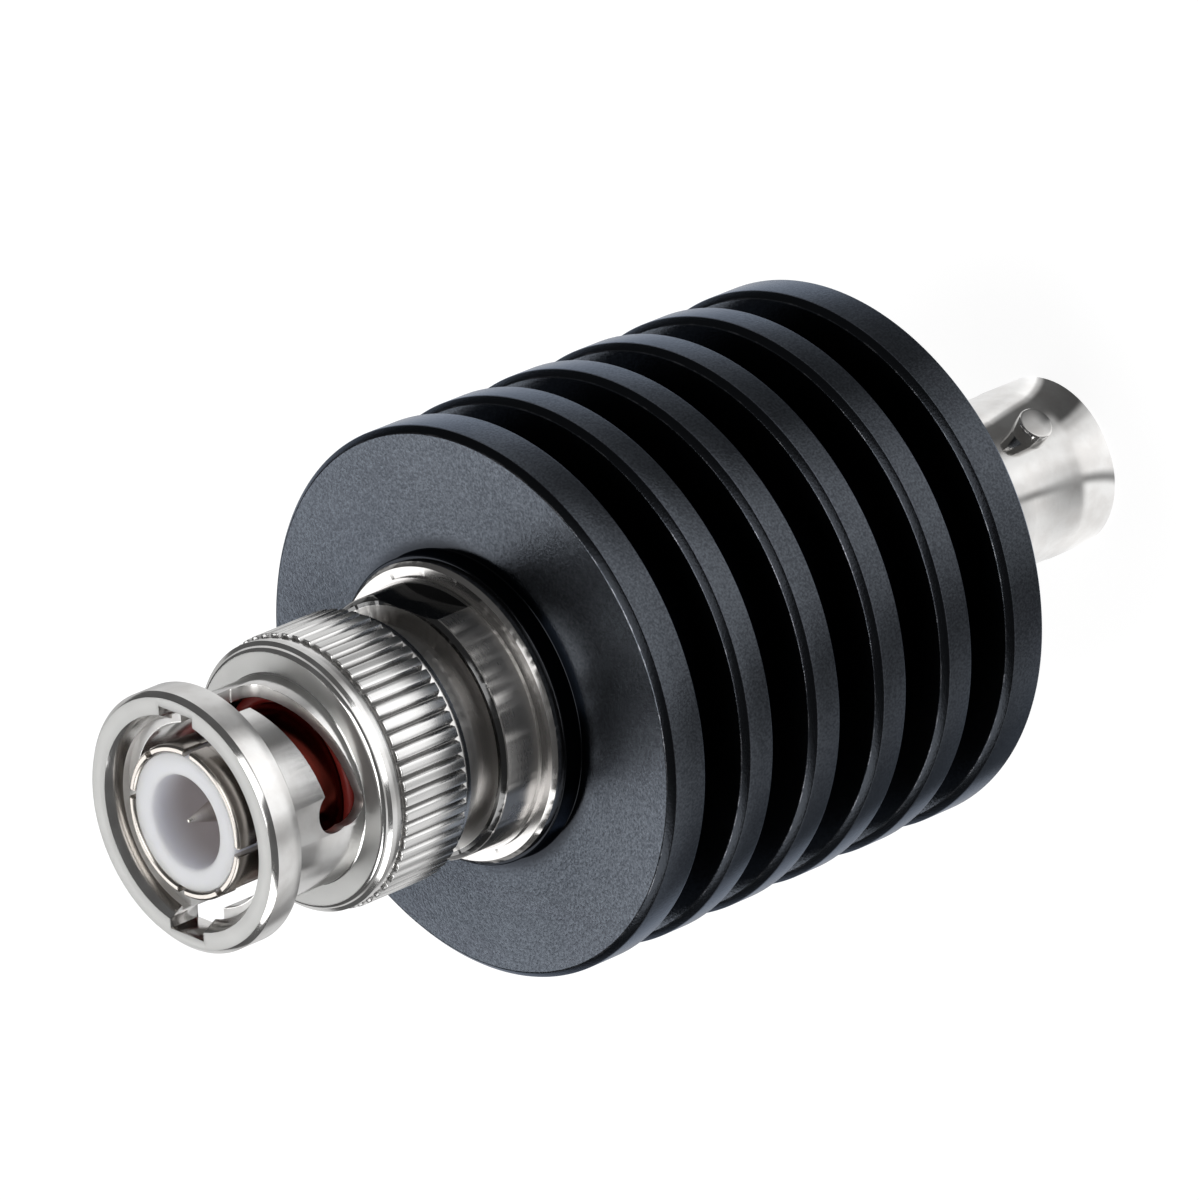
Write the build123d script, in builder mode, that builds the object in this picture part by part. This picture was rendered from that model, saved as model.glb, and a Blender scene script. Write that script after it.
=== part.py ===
# Coaxial attenuator: a finned black heatsink between a bayonet plug and a bayonet jack.
# Millimetres. The axis is Z: the open end of the jack stands on Z = 0 and the plug points up.
# X is the direction of the wrench flats and of the coupling nut's keyways.
from build123d import *
import math
import os

os.makedirs("parts", exist_ok=True)

# heatsink
sink_d = 30.0
core_d = 19.0
end_plate = 2.75
fin_thick = 2.3
fin_gap = 2.58
inner_fins = 4
rim_bevel = 0.35
seat_boss_d = 16.84
seat_boss_height = 1.13
cartridge_bore_d = 12.0

# threaded spigots that hold both connectors in the heatsink, and their seals
spigot_d = 14.0
spigot_length = 7.4
thread_clear = 0.05
seal_section = 0.7
seal_inset = 0.25
seal_clear = 0.02

# wrench drum and flange, the same on both connectors
flange_d = 16.4
flange_thick = 0.55
flange_bevel = 0.22
root_step_d = 14.9
root_step = 0.22
drum_d = 14.4
drum_length = 2.6
drum_bevel = 0.26
across_flats = 13.5
line_bore_d = 7.0

# jack
shell_d = 9.65
shell_length = 11.87
shell_round = 0.3
shell_bore_d = 8.3
mating_depth = 8.4
stud_band_d = 9.3
stud_band_start = 2.75
stud_band_length = 3.5
stud_d = 1.98
stud_span = 11.5
stud_height = 4.7
stud_turn = -36.7
stud_root_d = 8.72
stud_bevel = 0.15
nose_d = 4.7
nose_recess = 3.2
socket_recess = 3.6
socket_d = 2.2
socket_length = 10.4
socket_bore_d = 1.38
socket_bore_depth = 6.5
socket_slit = 0.25
socket_slits = 4

# plug: neck, spring sleeve and contact
neck_d = 11.2
neck_length = 0.82
seat_ring_d = 12.2
tail_d = 10.0
tail_grip = 4.0
shoulder_d = 12.2
shoulder_length = 1.55
contact_d = 8.14
contact_tip_d = 8.3
contact_tip_length = 1.3
contact_bore_d = 7.44
contact_reach = 8.45
contact_bevel = 0.1
contact_slit = 0.45
contact_slit_length = 5.3
contact_slit_turns = (-7.0, 38.0, 83.0, 173.0, 218.0, 263.0)
gasket_thick = 1.3
gasket_d = 9.6
gasket_round = 0.28

# centre conductors
pin_d = 1.35
pin_recess = 0.35
pin_taper = 2.1
pin_point_d = 0.2
rod_d = 1.8
rod_reach = 2.0
nest_bore_d = 5.0
nest_depth = 5.3
sleeve_recess = 0.08
plug_insulator_foot = 8.0
bead_length = 2.5
bead_inset = 3.0

# coupling nut
nut_standoff = 2.2
nut_length = 13.6
nut_land_d = 14.0
nut_land_length = 0.65
knurl_d = 14.84
knurl_length = 4.2
knurl_teeth = 56
knurl_depth = 0.36
knurl_bevel = 0.3
groove_length = 0.25
guard_d = 14.54
guard_length = 0.62
collar_d = 14.1
collar_length = 0.43
collar_round = 0.3
barrel_d = 11.3
barrel_bore_d = 9.9
lip_d = 14.0
lip_length = 1.9
lip_bevel = 0.27
lip_edge = 0.08
mouth_d = 11.6
mouth_throat_d = 10.7
mouth_depth = 0.86
undercut_d = 12.0
undercut_length = 0.6
keyway_width = 2.5
keyway_across = 12.34
track_width = 2.3
track_start = 4.85
track_drop = 1.4
track_turn = 83.5
pocket_d = 2.2
pocket_rise = 0.8
pocket_turn = 85.5
cavity_d = 12.6
cavity_clear = 0.2

# rings inside the nut
run_clear = 0.05
tail_clear = 0.1
retainer_thick = 1.1
retainer_recess = 0.1
washer_thick = 0.3
washer_d = 12.3
spring_height = 1.5
spring_d = 12.1
spring_bore_d = 10.3
spring_strip = 0.25
spring_waves = 3
spring_section_count = 36

# cartridge with the resistive chip
cartridge_clear = 0.05
chip_length = 7.0
chip_width = 3.4
chip_thick = 0.64
tunnel_width = 4.2
tunnel_rise = 1.1
rod_tunnel_width = 2.8
rod_tunnel_depth = 1.3
tab_width = 1.3
tab_thick = 0.15
tab_overlap = 0.8
tab_grip = 1.5
screw_d = 1.4
screw_head_d = 2.0
screw_head = 0.7
screw_side = 4.0
screw_inset = 2.2
screw_length = 4.0
screw_seat = 2.0
fit_clear = 0.02

# cutters reach this far past a wall, and rims are told apart to within rim_match
cut_over = 0.4
rim_match = 0.01

# stations along the axis, from the jack's open end up to the mouth of the plug
seal_d = flange_d - 2 * seal_inset - seal_section
jack_drum_top = shell_length + drum_length
jack_flange_top = jack_drum_top + flange_thick
sink_rear = jack_flange_top + seat_boss_height
sink_length = 2 * end_plate + inner_fins * fin_thick + (inner_fins + 1) * fin_gap
sink_front = sink_rear + sink_length
boss_front = sink_front + seat_boss_height
plug_drum_base = boss_front + flange_thick
plug_drum_top = plug_drum_base + drum_length
nut_rear = plug_drum_top + nut_standoff
nut_front = nut_rear + nut_length
retainer_base = nut_rear + retainer_recess
slip_washer_base = retainer_base + retainer_thick + run_clear
spring_base = slip_washer_base + washer_thick + run_clear
thrust_washer_base = spring_base + spring_height + run_clear
shoulder_base = thrust_washer_base + washer_thick
shoulder_top = shoulder_base + shoulder_length
contact_tip = shoulder_top + contact_reach
seat_ring_top = nut_rear - run_clear
tail_base = plug_drum_top - tail_grip + neck_length
nest_floor = contact_tip - nest_depth
pin_tip = contact_tip - pin_recess
jack_spigot_top = jack_flange_top + spigot_length
plug_spigot_base = boss_front - spigot_length
knurl_base = nut_rear + nut_land_length
knurl_top = knurl_base + knurl_length
guard_base = knurl_top + groove_length
collar_base = guard_base + guard_length
barrel_base = collar_base + collar_length
lip_base = nut_front - lip_length
track_entry = nut_front - track_start
track_end = track_entry - track_drop
carrier_d = cartridge_bore_d - 2 * cartridge_clear
carrier_length = plug_spigot_base - jack_spigot_top
chip_base = jack_spigot_top + (carrier_length - chip_length) / 2


def step(base, height, diameter, mode=Mode.ADD):
    # a round step or hole on the axis, from base upward
    with BuildSketch(Plane.XY.offset(base)) as outline:
        Circle(diameter / 2)
    extrude(outline.sketch, amount=height, mode=mode)


def turned(points, mode=Mode.ADD):
    # a body of revolution from the (diameter, height) corners of its half section
    with BuildSketch(Plane.XZ) as outline:
        with BuildLine():
            Polyline(*[(d / 2, h) for d, h in points], close=True)
        make_face()
    revolve(outline.sketch, axis=Axis.Z, mode=mode)


def wrench_flats(base, height):
    # two parallel flats across a drum
    depth = drum_d - across_flats
    with BuildSketch(Plane.XY.offset(base)) as outline:
        for side in (1, -1):
            with Locations((side * (across_flats + depth) / 2, 0)):
                Rectangle(depth, drum_d)
    extrude(outline.sketch, amount=height, mode=Mode.SUBTRACT)


# heatsink: one turned bar with round fins, a seat boss at each end and a bore right through
fin_rows = [(sink_rear, end_plate)]
for index in range(inner_fins):
    fin_rows.append((sink_rear + end_plate + fin_gap + index * (fin_thick + fin_gap), fin_thick))
fin_rows.append((sink_front - end_plate, end_plate))

with BuildPart() as heatsink:
    step(jack_flange_top, boss_front - jack_flange_top, seat_boss_d)
    step(sink_rear, sink_length, core_d)
    for fin_base, thick in fin_rows:
        step(fin_base, thick, sink_d)
    rims = heatsink.edges().filter_by(GeomType.CIRCLE)
    chamfer(rims.filter_by(lambda rim: abs(rim.radius - sink_d / 2) < rim_bevel), length=rim_bevel)
    step(jack_flange_top, boss_front - jack_flange_top, cartridge_bore_d, Mode.SUBTRACT)
    socket_depth = spigot_length
    seal_groove = seal_section + seal_clear
    seal_groove_d = seal_d + seal_section + 2 * seal_clear
    for end_base in (jack_flange_top, plug_spigot_base):
        step(end_base, socket_depth, spigot_d + 2 * thread_clear, Mode.SUBTRACT)
    for end_base in (jack_flange_top, boss_front - seal_groove):
        step(end_base, seal_groove, seal_groove_d, Mode.SUBTRACT)
heatsink.part.label = "heatsink"

# jack seal and plug seal: O-rings between the connector flanges and the heatsink
with BuildPart() as jack_seal:
    with BuildSketch(Plane.XZ):
        with Locations((seal_d / 2, jack_flange_top + seal_section / 2)):
            Circle(seal_section / 2)
    revolve(axis=Axis.Z)
jack_seal.part.label = "jack_seal"

with BuildPart() as plug_seal:
    with BuildSketch(Plane.XZ):
        with Locations((seal_d / 2, boss_front - seal_section / 2)):
            Circle(seal_section / 2)
    revolve(axis=Axis.Z)
plug_seal.part.label = "plug_seal"

# jack shell: bayonet shell, wrench drum, flange and threaded spigot in one
stud_directions = [stud_turn, stud_turn + 180.0]
with BuildPart() as jack_shell:
    step(0, shell_length, shell_d)
    mouth_rim = jack_shell.edges().filter_by(GeomType.CIRCLE).sort_by(Axis.Z)[0]
    fillet(mouth_rim, radius=shell_round)
    step(shell_length, drum_length, drum_d)
    drum_rim = jack_shell.edges().filter_by(lambda rim: rim.geom_type == GeomType.CIRCLE
                                            and abs(rim.radius - drum_d / 2) < rim_match)
    chamfer(drum_rim.sort_by(Axis.Z)[0], length=drum_bevel)
    wrench_flats(shell_length, drum_length)
    step(jack_drum_top - root_step, root_step, root_step_d)
    turned([(0, jack_drum_top), (flange_d - 2 * flange_bevel, jack_drum_top),
            (flange_d, jack_drum_top + flange_bevel), (flange_d, jack_flange_top),
            (0, jack_flange_top)])
    step(jack_flange_top, spigot_length, spigot_d)
    stud_band_end = stud_band_start + stud_band_length
    band_cut_d = shell_d + 2 * cut_over
    turned([(stud_band_d, stud_band_start), (band_cut_d, stud_band_start),
            (band_cut_d, stud_band_end), (stud_band_d, stud_band_end)], Mode.SUBTRACT)
    step(0, mating_depth, shell_bore_d, Mode.SUBTRACT)
    step(mating_depth, jack_spigot_top - mating_depth, line_bore_d, Mode.SUBTRACT)
    for turn in stud_directions:
        side = (math.cos(math.radians(turn)), math.sin(math.radians(turn)), 0)
        foot = tuple(stud_root_d / 2 * part for part in side[:2]) + (stud_height,)
        with BuildSketch(Plane(origin=foot, z_dir=side)):
            Circle(stud_d / 2)
    extrude(amount=(shell_d - stud_root_d) / 2, mode=Mode.SUBTRACT)
jack_shell.part.label = "jack_shell"

# bayonet studs: two short round studs set into the shell
with BuildPart() as bayonet_studs:
    for turn in stud_directions:
        side = (math.cos(math.radians(turn)), math.sin(math.radians(turn)), 0)
        foot = tuple(stud_root_d / 2 * part for part in side[:2]) + (stud_height,)
        with BuildSketch(Plane(origin=foot, z_dir=side)):
            Circle(stud_d / 2)
    extrude(amount=(stud_span - stud_root_d) / 2)
    outer_rims = bayonet_studs.edges().filter_by(GeomType.CIRCLE)
    outer_rims = outer_rims.filter_by(
        lambda rim: math.hypot(rim.arc_center.X, rim.arc_center.Y) > stud_span / 2 - stud_bevel)
    chamfer(outer_rims, length=stud_bevel)
bayonet_studs.part.label = "bayonet_studs"

# jack insulator: a nose for the mating plug and a wider foot in the shell's line bore
socket_top = socket_recess + socket_length
with BuildPart() as jack_insulator:
    step(nose_recess, mating_depth - nose_recess, nose_d)
    step(mating_depth, socket_top - mating_depth, line_bore_d - 2 * fit_clear)
    step(nose_recess, socket_top - nose_recess, socket_d + 2 * fit_clear, Mode.SUBTRACT)
jack_insulator.part.label = "jack_insulator"

# jack socket: a slit spring socket with a rod that reaches the cartridge
with BuildPart() as jack_socket:
    step(socket_recess, socket_length, socket_d)
    step(socket_top, jack_spigot_top + rod_reach - socket_top, rod_d)
    step(socket_recess, socket_bore_depth, socket_bore_d, Mode.SUBTRACT)
    with BuildSketch(Plane.XY.offset(socket_recess)):
        with PolarLocations(0, socket_slits // 2, angular_range=180):
            Rectangle(2 * socket_d, socket_slit)
    extrude(amount=socket_bore_depth - socket_bore_d, mode=Mode.SUBTRACT)
    with BuildSketch(Plane.XY.offset(jack_spigot_top)):
        with Locations((0, rod_d / 2)):
            Rectangle(rod_d, rod_d)
    extrude(amount=rod_reach, mode=Mode.SUBTRACT)
jack_socket.part.label = "jack_socket"

# jack bead: supports the rod inside the spigot
with BuildPart() as jack_bead:
    with BuildSketch(Plane.XY.offset(jack_spigot_top - bead_inset - bead_length)):
        Circle(line_bore_d / 2 - fit_clear)
        Circle(rod_d / 2 + fit_clear, mode=Mode.SUBTRACT)
    extrude(amount=bead_length)
jack_bead.part.label = "jack_bead"

# chip carrier: the lower half of the cartridge, with the seat of the chip
carrier_cut = carrier_d / 2
with BuildPart() as chip_carrier:
    with BuildSketch(Plane.XY.offset(jack_spigot_top)):
        Circle(carrier_d / 2)
        with Locations((0, carrier_cut / 2)):
            Rectangle(carrier_d, carrier_cut, mode=Mode.SUBTRACT)
        with Locations((0, -chip_thick / 2)):
            Rectangle(tunnel_width, chip_thick, mode=Mode.SUBTRACT)
    extrude(amount=carrier_length)
    for tunnel_base in (jack_spigot_top, chip_base + chip_length):
        with BuildSketch(Plane.XY.offset(tunnel_base)):
            with Locations((0, -rod_tunnel_depth / 2)):
                Rectangle(rod_tunnel_width, rod_tunnel_depth)
    extrude(amount=chip_base - jack_spigot_top, mode=Mode.SUBTRACT)
    for station in (jack_spigot_top + screw_inset, plug_spigot_base - screw_inset):
        with BuildSketch(Plane(origin=(0, 0, station), x_dir=(1, 0, 0), z_dir=(0, -1, 0))):
            with Locations((screw_side, 0), (-screw_side, 0)):
                Circle(screw_d / 2 + fit_clear)
    extrude(amount=screw_length - screw_seat, mode=Mode.SUBTRACT)
chip_carrier.part.label = "chip_carrier"

# carrier cover: the upper half of the cartridge
with BuildPart() as carrier_cover:
    with BuildSketch(Plane.XY.offset(jack_spigot_top)):
        Circle(carrier_d / 2)
        with Locations((0, -carrier_cut / 2)):
            Rectangle(carrier_d, carrier_cut, mode=Mode.SUBTRACT)
        with Locations((0, tunnel_rise / 2)):
            Rectangle(tunnel_width, tunnel_rise, mode=Mode.SUBTRACT)
    extrude(amount=carrier_length)
    for station in (jack_spigot_top + screw_inset, plug_spigot_base - screw_inset):
        with BuildSketch(Plane(origin=(0, 0, station), x_dir=(1, 0, 0), z_dir=(0, 1, 0))) as holes:
            with Locations((screw_side, 0), (-screw_side, 0)):
                Circle(screw_d / 2 + fit_clear)
        extrude(holes.sketch, amount=screw_seat, mode=Mode.SUBTRACT)
        seat = (0, screw_seat, station)
        with BuildSketch(Plane(origin=seat, x_dir=(1, 0, 0), z_dir=(0, 1, 0))) as wells:
            with Locations((screw_side, 0), (-screw_side, 0)):
                Circle(screw_head_d / 2 + fit_clear)
        extrude(wells.sketch, amount=carrier_d / 2, mode=Mode.SUBTRACT)
carrier_cover.part.label = "carrier_cover"

# carrier screws: four small screws that close the cartridge
with BuildPart() as carrier_screws:
    for station in (jack_spigot_top + screw_inset, plug_spigot_base - screw_inset):
        seat = (0, screw_seat, station)
        with BuildSketch(Plane(origin=seat, x_dir=(1, 0, 0), z_dir=(0, 1, 0))) as heads:
            with Locations((screw_side, 0), (-screw_side, 0)):
                Circle(screw_head_d / 2)
        extrude(heads.sketch, amount=screw_head)
        with BuildSketch(Plane(origin=seat, x_dir=(1, 0, 0), z_dir=(0, -1, 0))) as shanks:
            with Locations((screw_side, 0), (-screw_side, 0)):
                Circle(screw_d / 2)
        extrude(shanks.sketch, amount=screw_length)
carrier_screws.part.label = "carrier_screws"

# attenuator chip: a ceramic plate with the resistive film
with BuildPart() as attenuator_chip:
    with BuildSketch(Plane.XY.offset(chip_base)):
        with Locations((0, -chip_thick / 2)):
            Rectangle(chip_width, chip_thick)
    extrude(amount=chip_length)
attenuator_chip.part.label = "attenuator_chip"

# output tab and input tab: foil strips from the chip's ends to the two rods
with BuildPart() as output_tab:
    with BuildSketch(Plane.XY.offset(jack_spigot_top + rod_reach - tab_grip)):
        with Locations((0, tab_thick / 2)):
            Rectangle(tab_width, tab_thick)
    extrude(amount=chip_base + tab_overlap + tab_grip - rod_reach - jack_spigot_top)
output_tab.part.label = "output_tab"

with BuildPart() as input_tab:
    with BuildSketch(Plane.XY.offset(chip_base + chip_length - tab_overlap)):
        with Locations((0, tab_thick / 2)):
            Rectangle(tab_width, tab_thick)
    extrude(amount=chip_base + tab_overlap + tab_grip - rod_reach - jack_spigot_top)
input_tab.part.label = "input_tab"

# plug body: threaded spigot, flange, wrench drum, neck and the ring the nut rests on
with BuildPart() as plug_body:
    step(plug_spigot_base, spigot_length, spigot_d)
    step(plug_drum_base, drum_length, drum_d)
    drum_rim = plug_body.edges().filter_by(lambda rim: rim.geom_type == GeomType.CIRCLE
                                           and abs(rim.radius - drum_d / 2) < rim_match)
    chamfer(drum_rim.sort_by(Axis.Z)[-1], length=drum_bevel)
    wrench_flats(plug_drum_base, drum_length)
    step(plug_drum_base, root_step, root_step_d)
    turned([(0, boss_front), (flange_d, boss_front), (flange_d, plug_drum_base - flange_bevel),
            (flange_d - 2 * flange_bevel, plug_drum_base), (0, plug_drum_base)])
    step(plug_drum_top, neck_length, neck_d)
    step(plug_drum_top + neck_length, seat_ring_top - plug_drum_top - neck_length, seat_ring_d)
    step(plug_spigot_base, tail_base - plug_spigot_base, line_bore_d, Mode.SUBTRACT)
    step(tail_base, seat_ring_top - tail_base, tail_d, Mode.SUBTRACT)
plug_body.part.label = "plug_body"

# plug bead: supports the rod inside the spigot
with BuildPart() as plug_bead:
    with BuildSketch(Plane.XY.offset(plug_spigot_base + bead_inset)):
        Circle(line_bore_d / 2 - fit_clear)
        Circle(rod_d / 2 + fit_clear, mode=Mode.SUBTRACT)
    extrude(amount=bead_length)
plug_bead.part.label = "plug_bead"

# plug sleeve: pressed-in tail, shoulder for the spring and the slit outer contact
tip_start = contact_tip - contact_tip_length
with BuildPart() as plug_sleeve:
    step(tail_base, shoulder_base - tail_base, tail_d)
    step(shoulder_base, shoulder_length, shoulder_d)
    turned([(0, shoulder_top), (contact_d, shoulder_top), (contact_d, tip_start),
            (contact_tip_d, tip_start + contact_bevel), (contact_tip_d, contact_tip - contact_bevel),
            (contact_tip_d - 2 * contact_bevel, contact_tip), (0, contact_tip)])
    step(tail_base, contact_tip - tail_base, contact_bore_d, Mode.SUBTRACT)
    with BuildSketch(Plane.XY.offset(contact_tip - contact_slit_length)):
        for turn in contact_slit_turns:
            with PolarLocations(contact_d / 2, 1, start_angle=turn):
                Rectangle(2 * (contact_tip_d - contact_bore_d), contact_slit)
    extrude(amount=contact_slit_length, mode=Mode.SUBTRACT)
plug_sleeve.part.label = "plug_sleeve"

# plug insulator: a tube with a nest for the mating nose and a solid foot round the contact
insulator_base = nest_floor - plug_insulator_foot
insulator_top = contact_tip - sleeve_recess
with BuildPart() as plug_insulator:
    step(insulator_base, insulator_top - insulator_base, contact_bore_d - 2 * fit_clear)
    step(insulator_base, insulator_top - insulator_base, rod_d + 2 * fit_clear, Mode.SUBTRACT)
    step(nest_floor, insulator_top - nest_floor, nest_bore_d, Mode.SUBTRACT)
plug_insulator.part.label = "plug_insulator"

# plug pin: a pointed pin on the rod that comes up from the cartridge
rod_top = nest_floor
with BuildPart() as plug_pin:
    rod_end = plug_spigot_base - rod_reach
    turned([(0, rod_end), (rod_d, rod_end), (rod_d, rod_top), (pin_d, rod_top),
            (pin_d, pin_tip - pin_taper), (pin_point_d, pin_tip), (0, pin_tip)])
    with BuildSketch(Plane.XY.offset(rod_end)):
        with Locations((0, rod_d / 2)):
            Rectangle(rod_d, rod_d)
    extrude(amount=rod_reach, mode=Mode.SUBTRACT)
plug_pin.part.label = "plug_pin"

# gasket: soft ring in front of the shoulder that the jack's rim presses on
with BuildPart() as gasket:
    with BuildSketch(Plane.XY.offset(shoulder_top)):
        Circle(gasket_d / 2)
        Circle(contact_d / 2 + fit_clear, mode=Mode.SUBTRACT)
    extrude(amount=gasket_thick)
    fillet(gasket.edges().group_by(Axis.Z)[-1], radius=gasket_round)
gasket.part.label = "gasket"

# thrust washer against the shoulder, and slip washer that the retaining ring turns under
with BuildPart() as thrust_washer:
    with BuildSketch(Plane.XY.offset(thrust_washer_base)):
        Circle(washer_d / 2)
        Circle(tail_d / 2 + fit_clear, mode=Mode.SUBTRACT)
    extrude(amount=washer_thick)
thrust_washer.part.label = "thrust_washer"

with BuildPart() as slip_washer:
    with BuildSketch(Plane.XY.offset(slip_washer_base)):
        Circle(washer_d / 2)
        Circle(tail_d / 2 + run_clear, mode=Mode.SUBTRACT)
    extrude(amount=washer_thick)
slip_washer.part.label = "slip_washer"

# wave spring: a flat strip bent into even waves round the tail, built in two halves
spring_middle = spring_base + spring_height / 2
spring_swing = (spring_height - spring_strip) / 2
spring_radius = (spring_d + spring_bore_d) / 4
half_count = spring_section_count // 2

with BuildPart() as wave_spring:
    for half in range(2):
        for index in range(half * half_count, half * half_count + half_count + 1):
            turn = 2 * math.pi * index / spring_section_count
            outward = (math.cos(turn), math.sin(turn), 0)
            lift = spring_middle + spring_swing * math.cos(spring_waves * turn)
            middle = (spring_radius * outward[0], spring_radius * outward[1], lift)
            with BuildSketch(Plane(origin=middle, x_dir=outward, z_dir=(-outward[1], outward[0], 0))):
                Rectangle((spring_d - spring_bore_d) / 2, spring_strip)
        loft()
wave_spring.part.label = "wave_spring"

# coupling nut: knurled grip, guard collar, barrel with two bayonet tracks, and a keyed lip
knurl_points = []
for index in range(2 * knurl_teeth):
    reach = knurl_d / 2 - (index % 2) * knurl_depth
    turn = math.pi * index / knurl_teeth
    knurl_points.append((reach * math.cos(turn), reach * math.sin(turn)))
track_radius = (barrel_d + barrel_bore_d) / 4
track_pitch = track_drop * 360 / track_turn
track_cut = barrel_d - barrel_bore_d
track = Helix(pitch=track_pitch, height=track_drop, radius=track_radius)

with BuildPart() as coupling_nut:
    step(nut_rear, nut_length, barrel_d)
    step(nut_rear, collar_base - nut_rear, nut_land_d)
    with BuildSketch(Plane.XY.offset(knurl_base)):
        Polygon(*knurl_points, align=None)
    extrude(amount=knurl_length)
    bevel_in = knurl_d - 2 * knurl_bevel
    bevel_out = knurl_d + 2 * knurl_bevel
    for edge, inward in ((knurl_base, 1), (knurl_top, -1)):
        turned([(bevel_in, edge), (bevel_out, edge), (bevel_out, edge + inward * 2 * knurl_bevel)],
               Mode.SUBTRACT)
    step(guard_base, guard_length, guard_d)
    step(collar_base, collar_length, collar_d)
    front_rims = coupling_nut.edges().filter_by(lambda rim: rim.geom_type == GeomType.CIRCLE
                                                and abs(rim.radius - collar_d / 2) < rim_match)
    fillet(front_rims.sort_by(Axis.Z)[-1], radius=collar_round)
    turned([(0, lip_base), (lip_d - 2 * lip_edge, lip_base), (lip_d, lip_base + lip_edge),
            (lip_d, nut_front - lip_bevel), (lip_d - 2 * lip_bevel, nut_front), (0, nut_front)])
    step(nut_rear, shoulder_top + cavity_clear - nut_rear, cavity_d, Mode.SUBTRACT)
    step(nut_rear, nut_length, barrel_bore_d, Mode.SUBTRACT)
    undercut_base = nut_front - mouth_depth - undercut_length
    turned([(0, undercut_base), (undercut_d, undercut_base), (undercut_d, nut_front - mouth_depth),
            (mouth_throat_d, nut_front - mouth_depth), (mouth_d, nut_front), (0, nut_front)], Mode.SUBTRACT)
    with BuildSketch(Plane.XY.offset(track_entry)):
        Rectangle(keyway_across, keyway_width)
    extrude(amount=track_start, mode=Mode.SUBTRACT)
    for turn in (0, 180):
        heading = turn - track_turn
        side = (math.cos(math.radians(heading)), math.sin(math.radians(heading)), 0)
        path = track.moved(Location((0, 0, track_end), (0, 0, heading)))
        with BuildSketch(Plane(origin=path @ 0, x_dir=side, z_dir=path % 0)) as track_section:
            Rectangle(track_cut, track_width)
        sweep(track_section.sketch, path=path, is_frenet=True, mode=Mode.SUBTRACT)
        pocket = (turn - pocket_turn, track_end + pocket_rise, pocket_d)
        ends = ((heading, track_end, track_width), pocket, (turn, track_entry, track_width))
        for angle, height, width in ends:
            side = (math.cos(math.radians(angle)), math.sin(math.radians(angle)), 0)
            with BuildSketch(Plane(origin=(0, 0, height), z_dir=side)) as track_round:
                Circle(width / 2)
            extrude(track_round.sketch, amount=barrel_d / 2 + cut_over, mode=Mode.SUBTRACT)
coupling_nut.part.label = "coupling_nut"

# retaining ring: pressed into the nut's rear, it carries the nut on the sleeve's tail
with BuildPart() as retaining_ring:
    with BuildSketch(Plane.XY.offset(retainer_base)):
        Circle(cavity_d / 2)
        Circle(tail_d / 2 + tail_clear, mode=Mode.SUBTRACT)
    extrude(amount=retainer_thick)
retaining_ring.part.label = "retaining_ring"

export_step(heatsink.part, "parts/heatsink.step")
export_step(jack_seal.part, "parts/jack_seal.step")
export_step(plug_seal.part, "parts/plug_seal.step")
export_step(jack_shell.part, "parts/jack_shell.step")
export_step(bayonet_studs.part, "parts/bayonet_studs.step")
export_step(jack_insulator.part, "parts/jack_insulator.step")
export_step(jack_socket.part, "parts/jack_socket.step")
export_step(jack_bead.part, "parts/jack_bead.step")
export_step(chip_carrier.part, "parts/chip_carrier.step")
export_step(carrier_cover.part, "parts/carrier_cover.step")
export_step(carrier_screws.part, "parts/carrier_screws.step")
export_step(attenuator_chip.part, "parts/attenuator_chip.step")
export_step(output_tab.part, "parts/output_tab.step")
export_step(input_tab.part, "parts/input_tab.step")
export_step(plug_body.part, "parts/plug_body.step")
export_step(plug_bead.part, "parts/plug_bead.step")
export_step(plug_sleeve.part, "parts/plug_sleeve.step")
export_step(plug_insulator.part, "parts/plug_insulator.step")
export_step(plug_pin.part, "parts/plug_pin.step")
export_step(gasket.part, "parts/gasket.step")
export_step(thrust_washer.part, "parts/thrust_washer.step")
export_step(slip_washer.part, "parts/slip_washer.step")
export_step(wave_spring.part, "parts/wave_spring.step")
export_step(coupling_nut.part, "parts/coupling_nut.step")
export_step(retaining_ring.part, "parts/retaining_ring.step")
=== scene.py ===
# Coaxial attenuator: a finned black heatsink with a bayonet plug at one end and a bayonet jack at the
# other. It stands on the jack, and every piece is built in place in the order it is put together.
import math

import bmesh
import bpy
import mathutils
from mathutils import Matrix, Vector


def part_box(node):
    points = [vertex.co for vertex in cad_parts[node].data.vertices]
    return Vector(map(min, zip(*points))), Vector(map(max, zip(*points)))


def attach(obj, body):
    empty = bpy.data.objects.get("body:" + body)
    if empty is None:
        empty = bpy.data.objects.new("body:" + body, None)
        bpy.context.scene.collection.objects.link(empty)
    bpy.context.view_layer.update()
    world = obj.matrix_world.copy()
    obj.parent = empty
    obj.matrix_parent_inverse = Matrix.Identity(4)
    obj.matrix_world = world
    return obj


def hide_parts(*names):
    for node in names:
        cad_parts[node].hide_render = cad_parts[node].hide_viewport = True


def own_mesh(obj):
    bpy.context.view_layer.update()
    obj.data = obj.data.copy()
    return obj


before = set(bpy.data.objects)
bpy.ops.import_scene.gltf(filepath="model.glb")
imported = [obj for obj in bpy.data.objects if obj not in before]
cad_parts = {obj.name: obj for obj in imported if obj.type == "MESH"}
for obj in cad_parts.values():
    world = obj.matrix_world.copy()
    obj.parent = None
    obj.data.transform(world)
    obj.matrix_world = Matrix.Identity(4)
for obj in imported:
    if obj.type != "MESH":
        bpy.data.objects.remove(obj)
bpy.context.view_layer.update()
mm = 0.001


# Heatsink
# One bar of aluminium, turned with a lathe tool that leaves six round fins and a seat boss at each end,
# bevelled at the rims, blasted with fine beads and anodised black. Handling polishes its corners.
weld_distance = 0.0005 * mm


def deselect_all():
    bpy.ops.object.select_all(action="DESELECT")


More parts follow.
